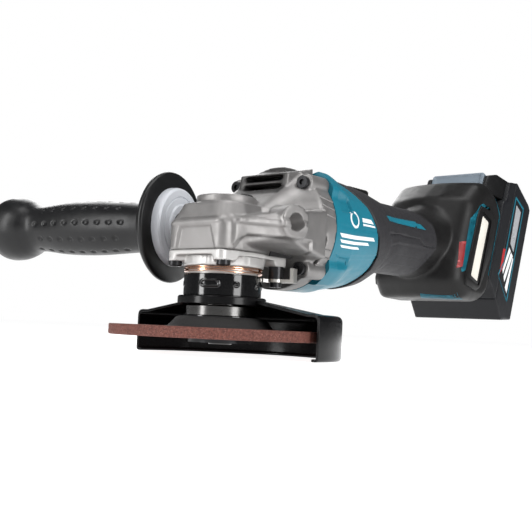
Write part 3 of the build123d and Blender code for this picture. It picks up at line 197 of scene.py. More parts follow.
def grainMaterial(name, look):
    # base colour that varies a little, a fine grain in the surface and an uneven gloss
    material, tree, shader, coords = newMaterial(name)
    broad = noiseNode(tree, coords, look.get("broadScale", 45), 3)
    colour = look["colour"]
    spread = look.get("spread", 0.12)
    tree.links.new(
        rampNode(tree, broad, [(0.3, shade(colour, 1 - spread)), (0.7, shade(colour, 1 + spread))]),
        shader.inputs["Base Color"],
    )
    rough = look["roughness"]
    tree.links.new(
        rampNode(tree, noiseNode(tree, coords, look.get("glossScale", 160), 4),
                 [(0.3, (rough * 0.85,) * 3), (0.7, (min(1, rough * 1.15),) * 3)]),
        shader.inputs["Roughness"],
    )
    fine = noiseNode(tree, coords, look.get("grainScale", 1800), 2)
    bumpNode(tree, fine, shader, look.get("grain", 0.3), look.get("grainDepth", 0.12))
    shader.inputs["Metallic"].default_value = look.get("metallic", 0.0)
    shader.inputs["Specular IOR Level"].default_value = look.get("specular", 0.5)
    shader.inputs["Coat Weight"].default_value = look.get("coat", 0.0)
    shader.inputs["Coat Roughness"].default_value = look.get("coatRoughness", 0.1)
    return material


looks = {
    "castAluminium": {"colour": (0.26, 0.252, 0.248), "roughness": 0.48, "metallic": 0.78, "grain": 0.6,
                      "grainDepth": 0.10, "grainScale": 2200, "spread": 0.08},
    "lightAluminium": {"colour": (0.52, 0.51, 0.50), "roughness": 0.44, "metallic": 0.5, "grain": 0.35,
                       "grainDepth": 0.08, "grainScale": 2000, "spread": 0.05},
    "brightSteel": {"colour": (0.62, 0.62, 0.62), "roughness": 0.25, "metallic": 1.0, "grain": 0.1,
                    "grainDepth": 0.03},
    "darkSteel": {"colour": (0.030, 0.030, 0.032), "roughness": 0.32, "metallic": 0.7, "grain": 0.2,
                  "grainDepth": 0.04},
    "flangeSteel": {"colour": (0.11, 0.108, 0.106), "roughness": 0.22, "metallic": 1.0, "grain": 0.2,
                    "grainDepth": 0.03},
    "nickel": {"colour": (0.66, 0.64, 0.60), "roughness": 0.34, "metallic": 1.0, "grain": 0.15,
               "grainDepth": 0.05},
    "guardPaint": {"colour": (0.004, 0.004, 0.0045), "roughness": 0.13, "grain": 0.25, "grainScale": 500,
                   "grainDepth": 0.05, "coat": 0.4, "coatRoughness": 0.08, "specular": 0.4},
    "guardShell": {"colour": (0.004, 0.004, 0.0045), "roughness": 0.20, "grain": 0.25, "grainScale": 500,
                   "grainDepth": 0.05, "specular": 0.22},
    "copper": {"colour": (0.72, 0.38, 0.24), "roughness": 0.22, "metallic": 1.0, "grain": 0.1,
               "grainDepth": 0.03},
    "motorIron": {"colour": (0.12, 0.12, 0.13), "roughness": 0.5, "metallic": 0.8},
    "tealPlastic": {"colour": (0.009, 0.155, 0.220), "roughness": 0.38, "grain": 0.3, "grainScale": 2600,
                    "grainDepth": 0.06, "spread": 0.04, "specular": 0.32},
    "gripRubber": {"colour": (0.022, 0.0215, 0.024), "roughness": 0.55, "grain": 0.9, "grainScale": 1500,
                   "grainDepth": 0.16, "spread": 0.10, "specular": 0.3},
    "softBlack": {"colour": (0.0075, 0.0072, 0.0072), "roughness": 0.40, "grain": 0.35, "grainScale": 1900,
                  "grainDepth": 0.07, "spread": 0.15, "specular": 0.25},
    "handleRubber": {"colour": (0.0075, 0.0075, 0.008), "roughness": 0.36, "grain": 0.3, "grainScale": 1600,
                     "grainDepth": 0.06, "spread": 0.15, "specular": 0.3},
    "ringPlastic": {"colour": (0.62, 0.64, 0.68), "roughness": 0.40, "grain": 0.15, "grainScale": 900,
                    "grainDepth": 0.05, "spread": 0.04},
    "batteryBlack": {"colour": (0.0075, 0.008, 0.010), "roughness": 0.42, "grain": 0.6, "grainScale": 1500,
                     "grainDepth": 0.10, "spread": 0.12, "specular": 0.28},
    "latchGrey": {"colour": (0.17, 0.21, 0.25), "roughness": 0.45, "grain": 0.5, "grainScale": 1300,
                  "grainDepth": 0.10, "spread": 0.06},
    "filterFelt": {"colour": (0.72, 0.69, 0.62), "roughness": 0.85, "grain": 0.9, "grainScale": 1400,
                   "grainDepth": 0.25, "spread": 0.08},
    "circuitGreen": {"colour": (0.01, 0.07, 0.03), "roughness": 0.4},
    "whitePrint": {"colour": (0.80, 0.81, 0.82), "roughness": 0.45, "spread": 0.02, "grain": 0.1},
    "silverPrint": {"colour": (0.55, 0.56, 0.58), "roughness": 0.30, "metallic": 0.4, "spread": 0.04},
    "redPrint": {"colour": (0.42, 0.022, 0.026), "roughness": 0.35, "spread": 0.05},
}
materials = {name: grainMaterial(name, look) for name, look in looks.items()}

# the cast block round the air slots is darker than the head
ventShade = {"low": (-46.0, -18.5, 88.0), "high": (-20.0, 18.5, 109.0), "edge": 1.2, "factor": 0.30}


def darkenBlock(material, look):
    tree = material.node_tree
    shader = tree.nodes["Principled BSDF"]
    place = addNode(tree, "ShaderNodeTexCoord")
    split = addNode(tree, "ShaderNodeSeparateXYZ", {0: place.outputs["Object"]})
    inside = 1.0
    for axis in range(3):
        for edge, sign in ((look["low"][axis], 1), (look["high"][axis], -1)):
            step = addNode(tree, "ShaderNodeMapRange", {
                "Value": split.outputs[axis], "From Min": edge * mm,
                "From Max": (edge + sign * look["edge"]) * mm})
            both = addNode(tree, "ShaderNodeMath", {0: inside, 1: step.outputs["Result"]},
                           operation="MULTIPLY")
            inside = both.outputs[0]
    before = shader.inputs["Base Color"].links[0].from_socket
    dark = addNode(tree, "ShaderNodeMix", data_type="RGBA", blend_type="MULTIPLY")
    dark.inputs["B"].default_value = (look["factor"],) * 3 + (1,)
    tree.links.new(inside, dark.inputs["Factor"])
    tree.links.new(before, dark.inputs["A"])
    tree.links.new(dark.outputs["Result"], shader.inputs["Base Color"])


darkenBlock(materials["castAluminium"], ventShade)
print("materials made", len(materials))


abrasiveLook = {
    "grit": [(0.30, (0.035, 0.009, 0.0065)), (0.50, (0.110, 0.030, 0.020)), (0.72, (0.21, 0.072, 0.050))],
    "gritScale": 900, "gritDetail": 5, "gritRoughness": 0.75, "bump": 0.8, "depth": 0.35, "roughness": 0.75,
    # painted glints: bright specks added to the grit colour stand for the grains catching the light
    "paintedGlints": [(0.10, (0.55, 0.34, 0.28)), (0.22, (0.0, 0.0, 0.0))], "glintScale": 1500, "glintShare": 0.5,
    # printed paper covers the raised centre on both sides
    "paperRadius": 34.0, "paperEdge": 0.6, "paper": (0.012, 0.011, 0.011),
}


def makeAbrasive(look):
    material, tree, shader, coords = newMaterial("abrasive")
    grit = noiseNode(tree, coords, look["gritScale"], look["gritDetail"], look["gritRoughness"])
    # painted glints: small bright specks added on top of the grit colour
    paintedGlints = addNode(tree, "ShaderNodeTexVoronoi", {"Scale": look["glintScale"], "Vector": coords})
    total = addNode(tree, "ShaderNodeMix", data_type="RGBA", blend_type="ADD")
    total.inputs["Factor"].default_value = look["glintShare"]
    tree.links.new(rampNode(tree, grit, look["grit"]), total.inputs["A"])
    tree.links.new(rampNode(tree, paintedGlints.outputs["Distance"], look["paintedGlints"]), total.inputs["B"])
    flat = addNode(tree, "ShaderNodeVectorMath", {0: coords, 1: (1, 1, 0)}, operation="MULTIPLY")
    reach = addNode(tree, "ShaderNodeVectorMath", {0: flat.outputs["Vector"]}, operation="LENGTH")
    ring = addNode(tree, "ShaderNodeMapRange", {
        "Value": reach.outputs["Value"], "From Min": look["paperRadius"] * mm,
        "From Max": (look["paperRadius"] + look["paperEdge"]) * mm})
    covered = addNode(tree, "ShaderNodeMix", data_type="RGBA")
    covered.inputs["A"].default_value = (*look["paper"], 1)
    tree.links.new(ring.outputs["Result"], covered.inputs["Factor"])
    tree.links.new(total.outputs["Result"], covered.inputs["B"])
    tree.links.new(covered.outputs["Result"], shader.inputs["Base Color"])
    shader.inputs["Roughness"].default_value = look["roughness"]
    bumpNode(tree, grit, shader, look["bump"], look["depth"])
    return material


materials["abrasive"] = makeAbrasive(abrasiveLook)

# CAD nodes that stay as they are, by finish
nodeFinish = {
    "castAluminium": ["gear_housing"],
    "lightAluminium": ["bearing_box", "controller"],
    "flangeSteel": ["spindle", "inner_flange"],
    "brightSteel": ["bevel_gear", "bevel_pinion", "lower_bearing_outer",
                    "lower_bearing_inner", "front_bearing_outer", "front_bearing_inner",
                     "rear_bearing_outer",
                    "rear_bearing_inner", "bearing_retainer", "motor_shaft", "handle_stud",
                     "shaft_lock_pin",
                    "shaft_lock_spring", "latch_spring", "battery_cells"],
    "darkSteel": ["gear_housing_screws", "bearing_box_screws", "lever_screw", "lever_spacer", "lock_nut",
                  "shell_screws"],
    "nickel": ["guard_lever", "terminal_blades"],
    "copper": ["wave_springs", "stator_coils", "spindle_bush"],
    "guardPaint": ["guard_collar", "wheel_label"],
    "guardShell": ["wheel_guard"],
    "motorIron": ["stator_core", "rotor_core"],
    "tealPlastic": ["motor_housing", "grip_trim_left", "grip_trim_right"],
    "gripRubber": ["body_shell_left", "body_shell_right"],
    "softBlack": ["fan_baffle", "cooling_fan", "switch_body", "terminal_block", "shaft_lock_button",
                  "slide_switch", "filter_frame_left", "filter_frame_right"],
    "handleRubber": ["handle_grip"],
    "ringPlastic": ["handle_ring"],
    "batteryBlack": ["battery_case_upper", "battery_case_lower"],
    "latchGrey": ["battery_latch"],
    "filterFelt": ["filter_mesh_left", "filter_mesh_right"],
    "circuitGreen": ["sensor_board", "battery_board"],
    "abrasive": ["grinding_wheel"],
}
for finish, nodes in nodeFinish.items():
    for node in nodes:
        for place in cadNode(node).material_slots:
            place.material = materials[finish]
print("CAD nodes finished")

# ---- modelling helpers

def sweepFace(bm, count, levels, place):
    # a face of `count` corners drawn through the levels; place(level, corner) gives millimetres
    corner = bm.verts.layers.int.get("corner") or bm.verts.layers.int.new("corner")
    ring = [bm.verts.new(Vector(place(levels[0], index)) * mm) for index in range(count)]
    for index, vert in enumerate(ring):
        vert[corner] = index
    face = bm.faces.new(ring)
    for level in levels[1:]:
        made = bmesh.ops.extrude_face_region(bm, geom=[face])["geom"]
        face = next(item for item in made if isinstance(item, bmesh.types.BMFace))
        for vert in face.verts:
            vert.co = Vector(place(level, vert[corner])) * mm
    return face


def spinProfile(bm, profile, origin, along, steps=128):
    # profile of (radius, height) in millimetres, spun once round the axis
    verts = [bm.verts.new((radius * mm, 0, height * mm)) for radius, height in profile]
    edges = [bm.edges.new(pair) for pair in zip(verts, verts[1:])]
    bmesh.ops.spin(bm, geom=verts + edges, cent=(0, 0, 0), axis=(0, 0, 1), angle=2 * pi, steps=steps,
                   use_merge=True)
    bmesh.ops.remove_doubles(bm, verts=bm.verts, dist=1e-6)
    turn = Vector((0, 0, 1)).rotation_difference(Vector(along).normalized()).to_matrix().to_4x4()
    bmesh.ops.transform(bm, verts=bm.verts, matrix=Matrix.Translation(Vector(origin) * mm) @ turn)


def smoothStep(low, high, value):
    share = max(0.0, min(1.0, (value - low) / (high - low)))
    return share * share * (3 - 2 * share)


def plateau(value, low, high, edge):
    # 1 between low and high, falling to 0 over the edge width on both sides
    return smoothStep(low - edge, low, value) * (1 - smoothStep(high, high + edge, value))


def along(table, value):
    # value read from a table of (place, value), straight between its rows
    rows = sorted(table)
    if value <= rows[0][0]:
        return rows[0][1]
    for (fromX, fromY), (toX, toY) in zip(rows, rows[1:]):
        if value <= toX:
            return mix(fromY, toY, (value - fromX) / (toX - fromX))
    return rows[-1][1]


def sculpt(piece, rule):
    # moves each point of a mesh by rule(x, y, z) in millimetres
    for vert in piece.data.vertices:
        moved = rule(*(vert.co / mm))
        if moved:
            vert.co = Vector(moved) * mm


def boxCutter(low, high, bevel=0.0, segments=3):
    # closed block between two corners in millimetres, as an unlinked bmesh
    bm = bmesh.new()
    bmesh.ops.create_cube(bm, size=1.0)
    for vert in bm.verts:
        vert.co = Vector(mix(low[i], high[i], vert.co[i] + 0.5) for i in range(3)) * mm
    if bevel:
        bmesh.ops.bevel(bm, geom=list(bm.edges), offset=bevel * mm, affect="EDGES", segments=segments,
                        profile=0.5, material=-1)
    return bm


def applyCut(piece, cutterBm):
    # cuts a closed bmesh out of a piece for good
    mesh = bpy.data.meshes.new("cutter")
    cutterBm.to_mesh(mesh)
    cutterBm.free()
    cutter = bpy.data.objects.new("cutter", mesh)
    bpy.context.collection.objects.link(cutter)
    cut = piece.modifiers.new("cut", "BOOLEAN")
    cut.operation = "DIFFERENCE"
    cut.object = cutter
    cut.solver = "EXACT"
    bakeMesh(piece)
    bpy.data.objects.remove(cutter)


def wrapOn(sheet, target, axis, lift):
    # lays a sheet on a target along one axis
    wrap = sheet.modifiers.new("wrap", "SHRINKWRAP")
    wrap.target = target
    wrap.wrap_method = "PROJECT"
    wrap.use_project_x, wrap.use_project_y, wrap.use_project_z = (axis == one for one in "xyz")
    wrap.use_negative_direction = wrap.use_positive_direction = True
    wrap.offset = lift * mm
    bakeMesh(sheet)


# ---- the leaning frame of the rear housing and battery: s back, t up
rearFrame = {"origin": (-273.5, 0.0, 89.5), "lean": 20.0}
leanCos, leanSin = cos(radians(rearFrame["lean"])), sin(radians(rearFrame["lean"]))


def fromLean(s, y, t):
    x0, y0, z0 = rearFrame["origin"]
    return (x0 - s * leanCos - t * leanSin, y0 + y, z0 - s * leanSin + t * leanCos)


def toLean(x, y, z):
    x0, y0, z0 = rearFrame["origin"]
    dx, dz = x - x0, z - z0
    return (-dx * leanCos - dz * leanSin, y - y0, -dx * leanSin + dz * leanCos)


leanMatrix = Matrix((
    (-leanCos, 0, -leanSin, rearFrame["origin"][0] * mm),
    (0, 1, 0, 0),
    (-leanSin, 0, leanCos, rearFrame["origin"][2] * mm),
    (0, 0, 0, 1),
))

# ---- body line from the motor to the rear housing: place, height of its middle, radius
bodyLine = {
    "height": [(-240, 81), (-226, 79), (-200, 77), (-150, 77), (-120, 73), (-77, 71), (-40, 71)],
    "radius": [(-240, 43), (-232, 37), (-226, 32), (-218, 28), (-210, 25.6), (-200, 24.3), (-150, 24.3),
               (-145, 25.4), (-120, 32.3), (-112, 33.5), (-77, 37.3), (-57, 37.5), (-40, 37.5)],
    "joint": [(-90, -104), (-60, -108), (-40, -112.2), (-24, -112.5), (2, -108.6), (29, -101.5),
              (40, -94.5),
              (54, -88), (90, -86)],
    "gripEnd": [(-90, -190), (-60, -192), (-30, -196), (-10, -202), (35, -202), (52, -196), (70, -190),
                (90, -189)],
}


def bodyPoint(x, angle, lift=0.0):
    # angle in degrees from the left side upwards
    radius = along(bodyLine["radius"], x) + lift
    return (x, radius * cos(radians(angle)), along(bodyLine["height"], x) + radius * sin(radians(angle)))


def sideAngle(angle):
    # the same height on either side, from -90 below to 90 above
    return degrees(asin(max(-1.0, min(1.0, sin(radians(angle))))))


# ---- motor housing
motorLook = {
    "front": -57.0, "rings": 76, "corners": 224, "earRise": 4.4, "lowerEar": 0.8, "pocketDepth": 1.6,
    "lineDepth": 0.55, "lines": {2.6: -62, -24.5: -62, -39.5: -78}, "flatDepth": 0.54, "jointDepth": 0.7,
}


def motorLift(x, angle):
    side = sideAngle(angle)
    fade = smoothStep(-86.0, -62.0, x)
    upperEar = plateau(side, 38, 56, 9) * fade
    lowerEar = plateau(side, -54, -38, 9) * smoothStep(-90.0, -68.0, x)
    lift = motorLook["earRise"] * (upperEar + motorLook["lowerEar"] * lowerEar)
    lift -= motorLook["pocketDepth"] * plateau(side, 19, 33, 1.6) * plateau(x, -75.5, -64.5, 0.8)
    lift -= motorLook["pocketDepth"] * 0.8 * plateau(side, -33, -27, 1.6) * plateau(x, -76, -66, 1.2)
    for height, start in motorLook["lines"].items():
        line = plateau(side, height - 0.3, height + 0.3, 0.6) * plateau(x, -116, start, 1)
        lift -= motorLook["lineDepth"] * line
    lift -= motorLook["flatDepth"] * smoothStep(-25, -27, side) * plateau(x, -120, -80, 4)
    edge = along(bodyLine["joint"], side)
    lift -= motorLook["jointDepth"] * smoothStep(edge + 1.4, edge, x)
    return lift


def sleeve(look, front, lift):
    # a skin round the body from front(side) back, drawn through the rings of a look
    bm = bmesh.new()

    def place(share, index):
        angle = 360.0 * index / look["corners"]
        x = front(share, sideAngle(angle))
        return bodyPoint(x, angle, lift(share, x, angle))

    sweepFace(bm, look["corners"], [step / look["rings"] for step in range(look["rings"] + 1)], place)
    return bm


motorHousing = finishMesh(
    "motorHousing",
    sleeve(motorLook,
           lambda share, side: mix(motorLook["front"], along(bodyLine["joint"], side) + 0.25, share),
           lambda share, x, angle: motorLift(x, angle)),
    materials["tealPlastic"], "tool_body", ["motor_housing"], 50)
print("motor housing", len(motorHousing.data.polygons))


# ---- grip: textured sleeve with a seam along each side and lapped bands below it
gripLook = {
    "rings": 190, "corners": 224, "rise": 0.5, "seamDepth": 0.7, "lap": 0.81, "below": 0.5,
    "seam": [(-202, -8.4), (-184, -7.6), (-178, 1.0), (-129, 4.4), (-104, 5.0)],
    "bands": [-12.0, -30.0, -50.0, -72.0], "frontDip": 1.1, "backDip": 1.2, "switchFloor": 102.0,
}


def gripLift(x, angle):
    side = sideAngle(angle)
    seam = along(gripLook["seam"], x)
    lift = gripLook["rise"]
    lift -= gripLook["seamDepth"] * plateau(side, seam - 0.5, seam + 0.5, 0.8) * plateau(x, -201, -130, 1)
    lift -= gripLook["below"] * (1 - smoothStep(seam - 1.0, seam, side)) * plateau(x, -200, -128, 2)
    # each band laps over the next one below it
    lap = gripLook["lap"] * plateau(x, -190, -136, 3)
    edges = [seam] + gripLook["bands"]
    for top, bottom in zip(edges, edges[1:]):
        if bottom < side <= top:
            lift += lap * ((top - side) / (top - bottom) - smoothStep(bottom + 1.2, bottom, side))
    return lift


def gripSkin(share, x, angle):
    # the grip's surface, turned in at both ends
    front = smoothStep(1.2, 0.0, along(bodyLine["joint"], sideAngle(angle)) - x)
    back = smoothStep(0.994, 1.0, share)
    return gripLift(x, angle) - gripLook["frontDip"] * front - gripLook["backDip"] * back


grip = finishMesh(
    "grip",
    sleeve(gripLook, lambda share, side: mix(along(bodyLine["joint"], side) - 0.25,
                                             along(bodyLine["gripEnd"], side), share), gripSkin),
    materials["gripRubber"], "tool_body", ["body_shell_left", "body_shell_right"], 40)
# recess that the slide switch travels in
low, high = (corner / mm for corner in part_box("slide_switch"))
applyCut(grip, boxCutter((low.x - 4.2, low.y - 0.6, gripLook["switchFloor"]),
                         (high.x + 9.0, high.y + 0.6, 125.0), 0.8))
grip.data.shade_smooth()
grip.data.set_sharp_from_angle(angle=radians(40))
print("grip", len(grip.data.polygons))


# ---- rear housing: a soft block that leans back, with the flare of the grip run into it
rearLook = {
    # side outline in the leaning frame, front round to the back
    "outline": [(-45, 8), (-45, -44), (-41, -58), (-30, -66), (-6, -58), (0, -50), (0, 24), (-13, 31.5),
                (-27, 33), (-36, 27)],
    "radii": [9, 14, 9, 6, 6, 1.5, 3, 5, 5, 9],
    "halfWidth": 38.0, "sideRadius": 9.0, "frontBulge": 9.0,
    "levels": [-38, -37.6, -36.8, -35.4, -33, -30, -26, -20, -12, 0, 12, 20, 26, 30, 33, 35.4, 36.8,
               37.6, 38],
}


def roundedOutline(points, radii, steps=7):
    # a closed outline with each corner turned into an arc
    made = []
    for index, corner in enumerate(points):
        here = Vector(corner)
        before = (Vector(points[index - 1]) - here)
        after = (Vector(points[(index + 1) % len(points)]) - here)
        half = before.angle(after) / 2
        reach = min(radii[index] / max(0.05, abs(sin(half) / cos(half))),
                    before.length * 0.48, after.length * 0.48)
        start, end = here + before.normalized() * reach, here + after.normalized() * reach
        for step in range(steps + 1):
            share = step / steps
            made.append(start.lerp(here, share).lerp(here.lerp(end, share), share))
    return made


def makeRearHousing():
    bm = bmesh.new()
    outline = roundedOutline(rearLook["outline"], rearLook["radii"])
    half, radius = rearLook["halfWidth"], rearLook["sideRadius"]

    def place(y, index):
        s, t = outline[index]
        over = max(0.0, abs(y) - (half - radius))
        inset = radius - sqrt(max(0.0, radius * radius - over * over))
        shrink = 1 - inset / 52
        front = max(0.0, -s - 18) / 27
        bulge = rearLook["frontBulge"] * (1 - (y / half) ** 2) * front
        return fromLean(s * shrink - bulge, y, -15 + (t + 15) * shrink)

    sweepFace(bm, len(outline), rearLook["levels"], place)
    flare = bmesh.new()
    sweepFace(flare, 96, [-186 - 3 * step for step in range(16)],
              lambda x, index: bodyPoint(x, 360.0 * index / 96, -0.1))
    for part in (bm, flare):
        bmesh.ops.recalc_face_normals(part, faces=part.faces)
    mergeInto(bm, flare)
    piece = finishMesh("rearHousing", bm, materials["softBlack"], "tool_body",
                       ["body_shell_left", "body_shell_right"], 0)
    evenOut(piece, 1.0, 14)

    # pocket of the battery rails, with its mouth open upwards, and the windows of the dust filters
    cuts = [boxCutter((-15.4, -31.3, -34.4), (6, 31.3, 60), 0.8),
            boxCutter((-12.8, -22.1, -40.6), (-3.4, 22.1, -34.0))]
    cuts += [boxCutter((-31.9, min(across), -48.9), (-15.1, max(across), 5.9), 2)
             for across in ((-33.5, -40), (33.5, 40))]
    for cut in cuts:
        bmesh.ops.transform(cut, verts=cut.verts, matrix=leanMatrix)
        applyCut(piece, cut)
    piece.data.shade_smooth()
    piece.data.set_sharp_from_angle(angle=radians(50))
    return piece


rearHousing = makeRearHousing()
print("rear housing", len(rearHousing.data.polygons))


# ---- thin raised patches: labels, strips and lines laid on a surface
def cutOutline(bm, outline):
    # keeps what lies inside a convex outline, corners in either order
    middle = sum((Vector((*corner, 0)) for corner in outline), Vector()) / len(outline)
    for start, end in zip(outline, outline[1:] + outline[:1]):
        a, b = Vector((*start, 0)), Vector((*end, 0))
        normal = Vector((b.y - a.y, a.x - b.x, 0))
        if normal.dot(middle - a) > 0:
            normal.negate()
        bmesh.ops.bisect_plane(bm, geom=bm.verts[:] + bm.edges[:] + bm.faces[:], plane_co=a,
                               plane_no=normal, clear_outer=True, dist=1e-7)


def patchPiece(name, outlines, lay, finish, body="tool_body", thick=0.3, cell=2.0, nodes=()):
    whole = bmesh.new()
    for outline in outlines:
        lowX, highX = min(p[0] for p in outline), max(p[0] for p in outline)
        lowY, highY = min(p[1] for p in outline), max(p[1] for p in outline)
        bm = bmesh.new()
        bmesh.ops.create_grid(bm, x_segments=max(1, int((highX - lowX) / cell)),
                              y_segments=max(1, int((highY - lowY) / cell)), size=0.5)
        for vert in bm.verts:
            vert.co = (mix(lowX, highX, vert.co.x + 0.5), mix(lowY, highY, vert.co.y + 0.5), 0)
        cutOutline(bm, outline)
        for vert in bm.verts:
            vert.co = Vector(lay(vert.co.x, vert.co.y, 0.0)) * mm
        mergeInto(whole, bm)
    # outwards is the way that a lifted copy of the first corner goes
    first = outlines[0][0]
    up = Vector(lay(*first, 1.0)) - Vector(lay(*first, 0.0))
    whole.normal_update()
    for face in whole.faces:
        if face.normal.dot(up) < 0:
            face.normal_flip()
    bmesh.ops.solidify(whole, geom=whole.faces[:], thickness=-thick * mm)
    return finishMesh(name, whole, materials[finish], body, nodes, 30)


def ovalOutline(x, y, radius, corners=28, stretch=0.62):
    return [(x + stretch * radius * cos(2 * pi * i / corners), y + radius * sin(2 * pi * i / corners))
            for i in range(corners)]


def onBody(side, skin):
    # lays places along and angles round the body on one of its skins
    return lambda x, height, lift: bodyPoint(
        x, height if side > 0 else 180 - height, skin(x, height) + lift - 0.1)


def onSide(side, depth=38.0):
    return lambda s, t, lift: fromLean(s, side * (depth + lift), t)


markLook = {
    # each stripe: front end, back end, upper and lower height in degrees about the motor
    "stripes": [(-60.5, -104.0, -3.4, -7.0), (-61.5, -97.0, -9.2, -12.0), (-62.5, -85.0, -14.2, -16.4)],
    "slant": 2.2, "ring": (-77.5, 12.0), "ringOutside": 8.37, "ringInside": 5.94,
    "dashes": [[(-87.5, 15.5), (-99.5, 15.5), (-102.5, 11.0), (-87.5, 11.0)],
               [(-87.5, 9.4), (-103.5, 9.4), (-104.5, 7.4), (-87.5, 7.4)]],
    "strip": [[(-128, 27.0), (-131, 20.5), (-172, 19.6), (-175, 23.0), (-176, 31.0)],
              [(-175, 28.0), (-176, 31.0), (-183, 32.5), (-190.5, 19.5), (-187.5, 19.5), (-182, 28.0)]],
}
slant = markLook["slant"]
stripes = [[(front, upper), (back + slant, upper), (back, lower), (front - slant, lower)]
           for front, back, upper, lower in markLook["stripes"]]
for side, word in ((1, "left"), (-1, "right")):
    # generic mark of three stripes, and a round sign with two dashes
    for name, outlines, finish, thick in (
        ("motorStripes", stripes, "whitePrint", 0.16),
        ("motorSign", [ovalOutline(*markLook["ring"], markLook["ringOutside"])], "whitePrint", 0.14),
        ("motorSignHeart", [ovalOutline(*markLook["ring"], markLook["ringInside"])], "tealPlastic", 0.20),
        ("motorDashes", markLook["dashes"], "whitePrint", 0.14),
    ):
        patchPiece(f"{name}_{word}", outlines, onBody(side, motorLift), finish, thick=thick, cell=1.5)
    patchPiece(f"gripStrip_{word}", markLook["strip"], onBody(side, gripLift), "tealPlastic", thick=0.45,
               cell=1.2, nodes=[f"grip_trim_{word}"])
print("marks and grip strips")

# ---- dust filters and the panel round each of them
filterLook = {
    "bezel": [(-36.5, 4.0), (-33.0, 9.5), (-13.5, 13.5), (-8.5, 8.5), (-5.0, -16.0), (-13.0, -49.0),
              (-18.0, -54.0), (-34.0, -56.0), (-37.0, -51.0)],
    "bezelHeight": 39.3,
    # middle, half width, half height and corner radius of each opening or frame
    "middle": (-23.5, -21.5), "window": (8.4, 27.4, 2), "frameOut": (7.9, 26.9, 3),
    "frameIn": (5.8, 24.8, 1.5),
    "bracket": [[(-42.8, -6.0), (-36.8, 3.4), (-37.3, -27.0), (-42.2, -27.0)],
                [(-42.2, -26.5), (-37.3, -26.5), (-37.6, -46.0), (-40.0, -48.6), (-41.4, -46.5)],
                [(-42.6, -5.5), (-35.2, 9.2), (-33.2, 9.4), (-36.7, 3.6), (-39.5, -4.0)],
                [(-35.3, 9.0), (-31.5, 12.4), (-19.0, 14.6), (-19.5, 12.4), (-32.6, 9.6)]],
    "badge": [[(-46.4, -27.0), (-42.6, -24.5), (-41.2, -44.5), (-44.6, -47.2)]],
    "edge": [[(-2.4, 16.5), (-1.2, 16.5), (-1.2, -34.0), (-2.4, -34.0)],
             [(-2.4, 16.2), (-1.2, 16.8), (-12.2, 28.0), (-13.4, 27.4)]],
}


def prism(outline, side, low, high, bevel=0.0, segments=2):
    # closed block with an outline in the leaning frame, between two distances from the middle
    bm = bmesh.new()
    sweepFace(bm, len(outline), [low, high],
              lambda y, index: fromLean(outline[index][0], side * y, outline[index][1]))
    bmesh.ops.recalc_face_normals(bm, faces=bm.faces)
    if bevel:
        bmesh.ops.bevel(bm, geom=list(bm.edges), offset=bevel * mm, affect="EDGES", segments=segments,
                        profile=0.5, material=-1)
    return bm


def windowOutline(key, steps):
    # rounded upright rectangle about the middle of the filter
    (s, t), (halfWidth, halfHeight, radius) = filterLook["middle"], filterLook[key]
    corners = [(s - halfWidth, t + halfHeight), (s - halfWidth, t - halfHeight),
               (s + halfWidth, t - halfHeight), (s + halfWidth, t + halfHeight)]
    return [tuple(point) for point in roundedOutline(corners, [radius] * 4, steps)]


window, frameOut = windowOutline("window", 4), windowOutline("frameOut", 4)
frameIn = windowOutline("frameIn", 3)
for side, word in ((1, "left"), (-1, "right")):
    bezel = finishMesh(f"filterBezel_{word}",
                       prism(filterLook["bezel"], side, 33.5, filterLook["bezelHeight"], 1.0),
                       materials["softBlack"], "tool_body", (), 35)
    applyCut(bezel, prism(window, side, 30, 45))
    holder = finishMesh(f"filterFrame_{word}", prism(frameOut, side, 34.9, 38.6, 0.5),
                        materials["handleRubber"], f"filter_{word}", [f"filter_frame_{word}"], 35)
    applyCut(holder, prism(frameIn, side, 37.2, 45))
    finishMesh(f"filterFelt_{word}", prism([(s * 0.999, t) for s, t in frameIn], side, 36.9, 38.25, 0.25),
               materials["filterFelt"], f"filter_{word}", [f"filter_mesh_{word}"], 35)
    # coloured bracket in front of the panel, a plain red badge below it, a line along the back edge
    sheets = [(patchPiece(f"{name}_{word}", filterLook[key], onSide(side, depth), finish, cell=1.2), lift)
              for name, key, depth, finish, lift in (
                  ("sideBracket", "bracket", 44, "tealPlastic", 0.10),
                  ("sideBadge", "badge", 44.6, "redPrint", 0.25),
                  ("edgeLine", "edge", 44, "tealPlastic", 0.12))]
    for sheet, lift in sheets:
        wrapOn(sheet, rearHousing, "y", lift)
print("filters and side panels")

# ---- battery: softened cases, latch between two cheeks, side labels
softCopy("batteryUpper", "battery_case_upper", materials["batteryBlack"], "battery", 0.9, 5)
softCopy("batteryLower", "battery_case_lower", materials["batteryBlack"], "battery", 0.9, 5)
latch = softCopy("latch", "battery_latch", materials["latchGrey"], "battery_latch", 0.6, 3)


def latchRule(x, y, z):
    s, across, t = toLean(x, y, z)
    if s < -9 and 36 < t < 53:
        s += 0.9 * plateau(across, -19.5, 19.5, 0.8) * plateau(t, 40.0, 50.0, 0.6)
    return fromLean(s, across, t)


sculpt(latch, latchRule)
cheekLook = {
    "outline": [(-13.5, 34.6), (-12.0, 48.5), (-5.0, 53.0), (6.0, 52.6), (17.0, 56.0), (17.0, 38.0),
                (1.5, 34.6)],
    "inside": 23.5, "outside": 34.5, "slopeFrom": 2.0, "slopeLength": 16.0, "slope": 8.5, "bevel": 0.9,
}
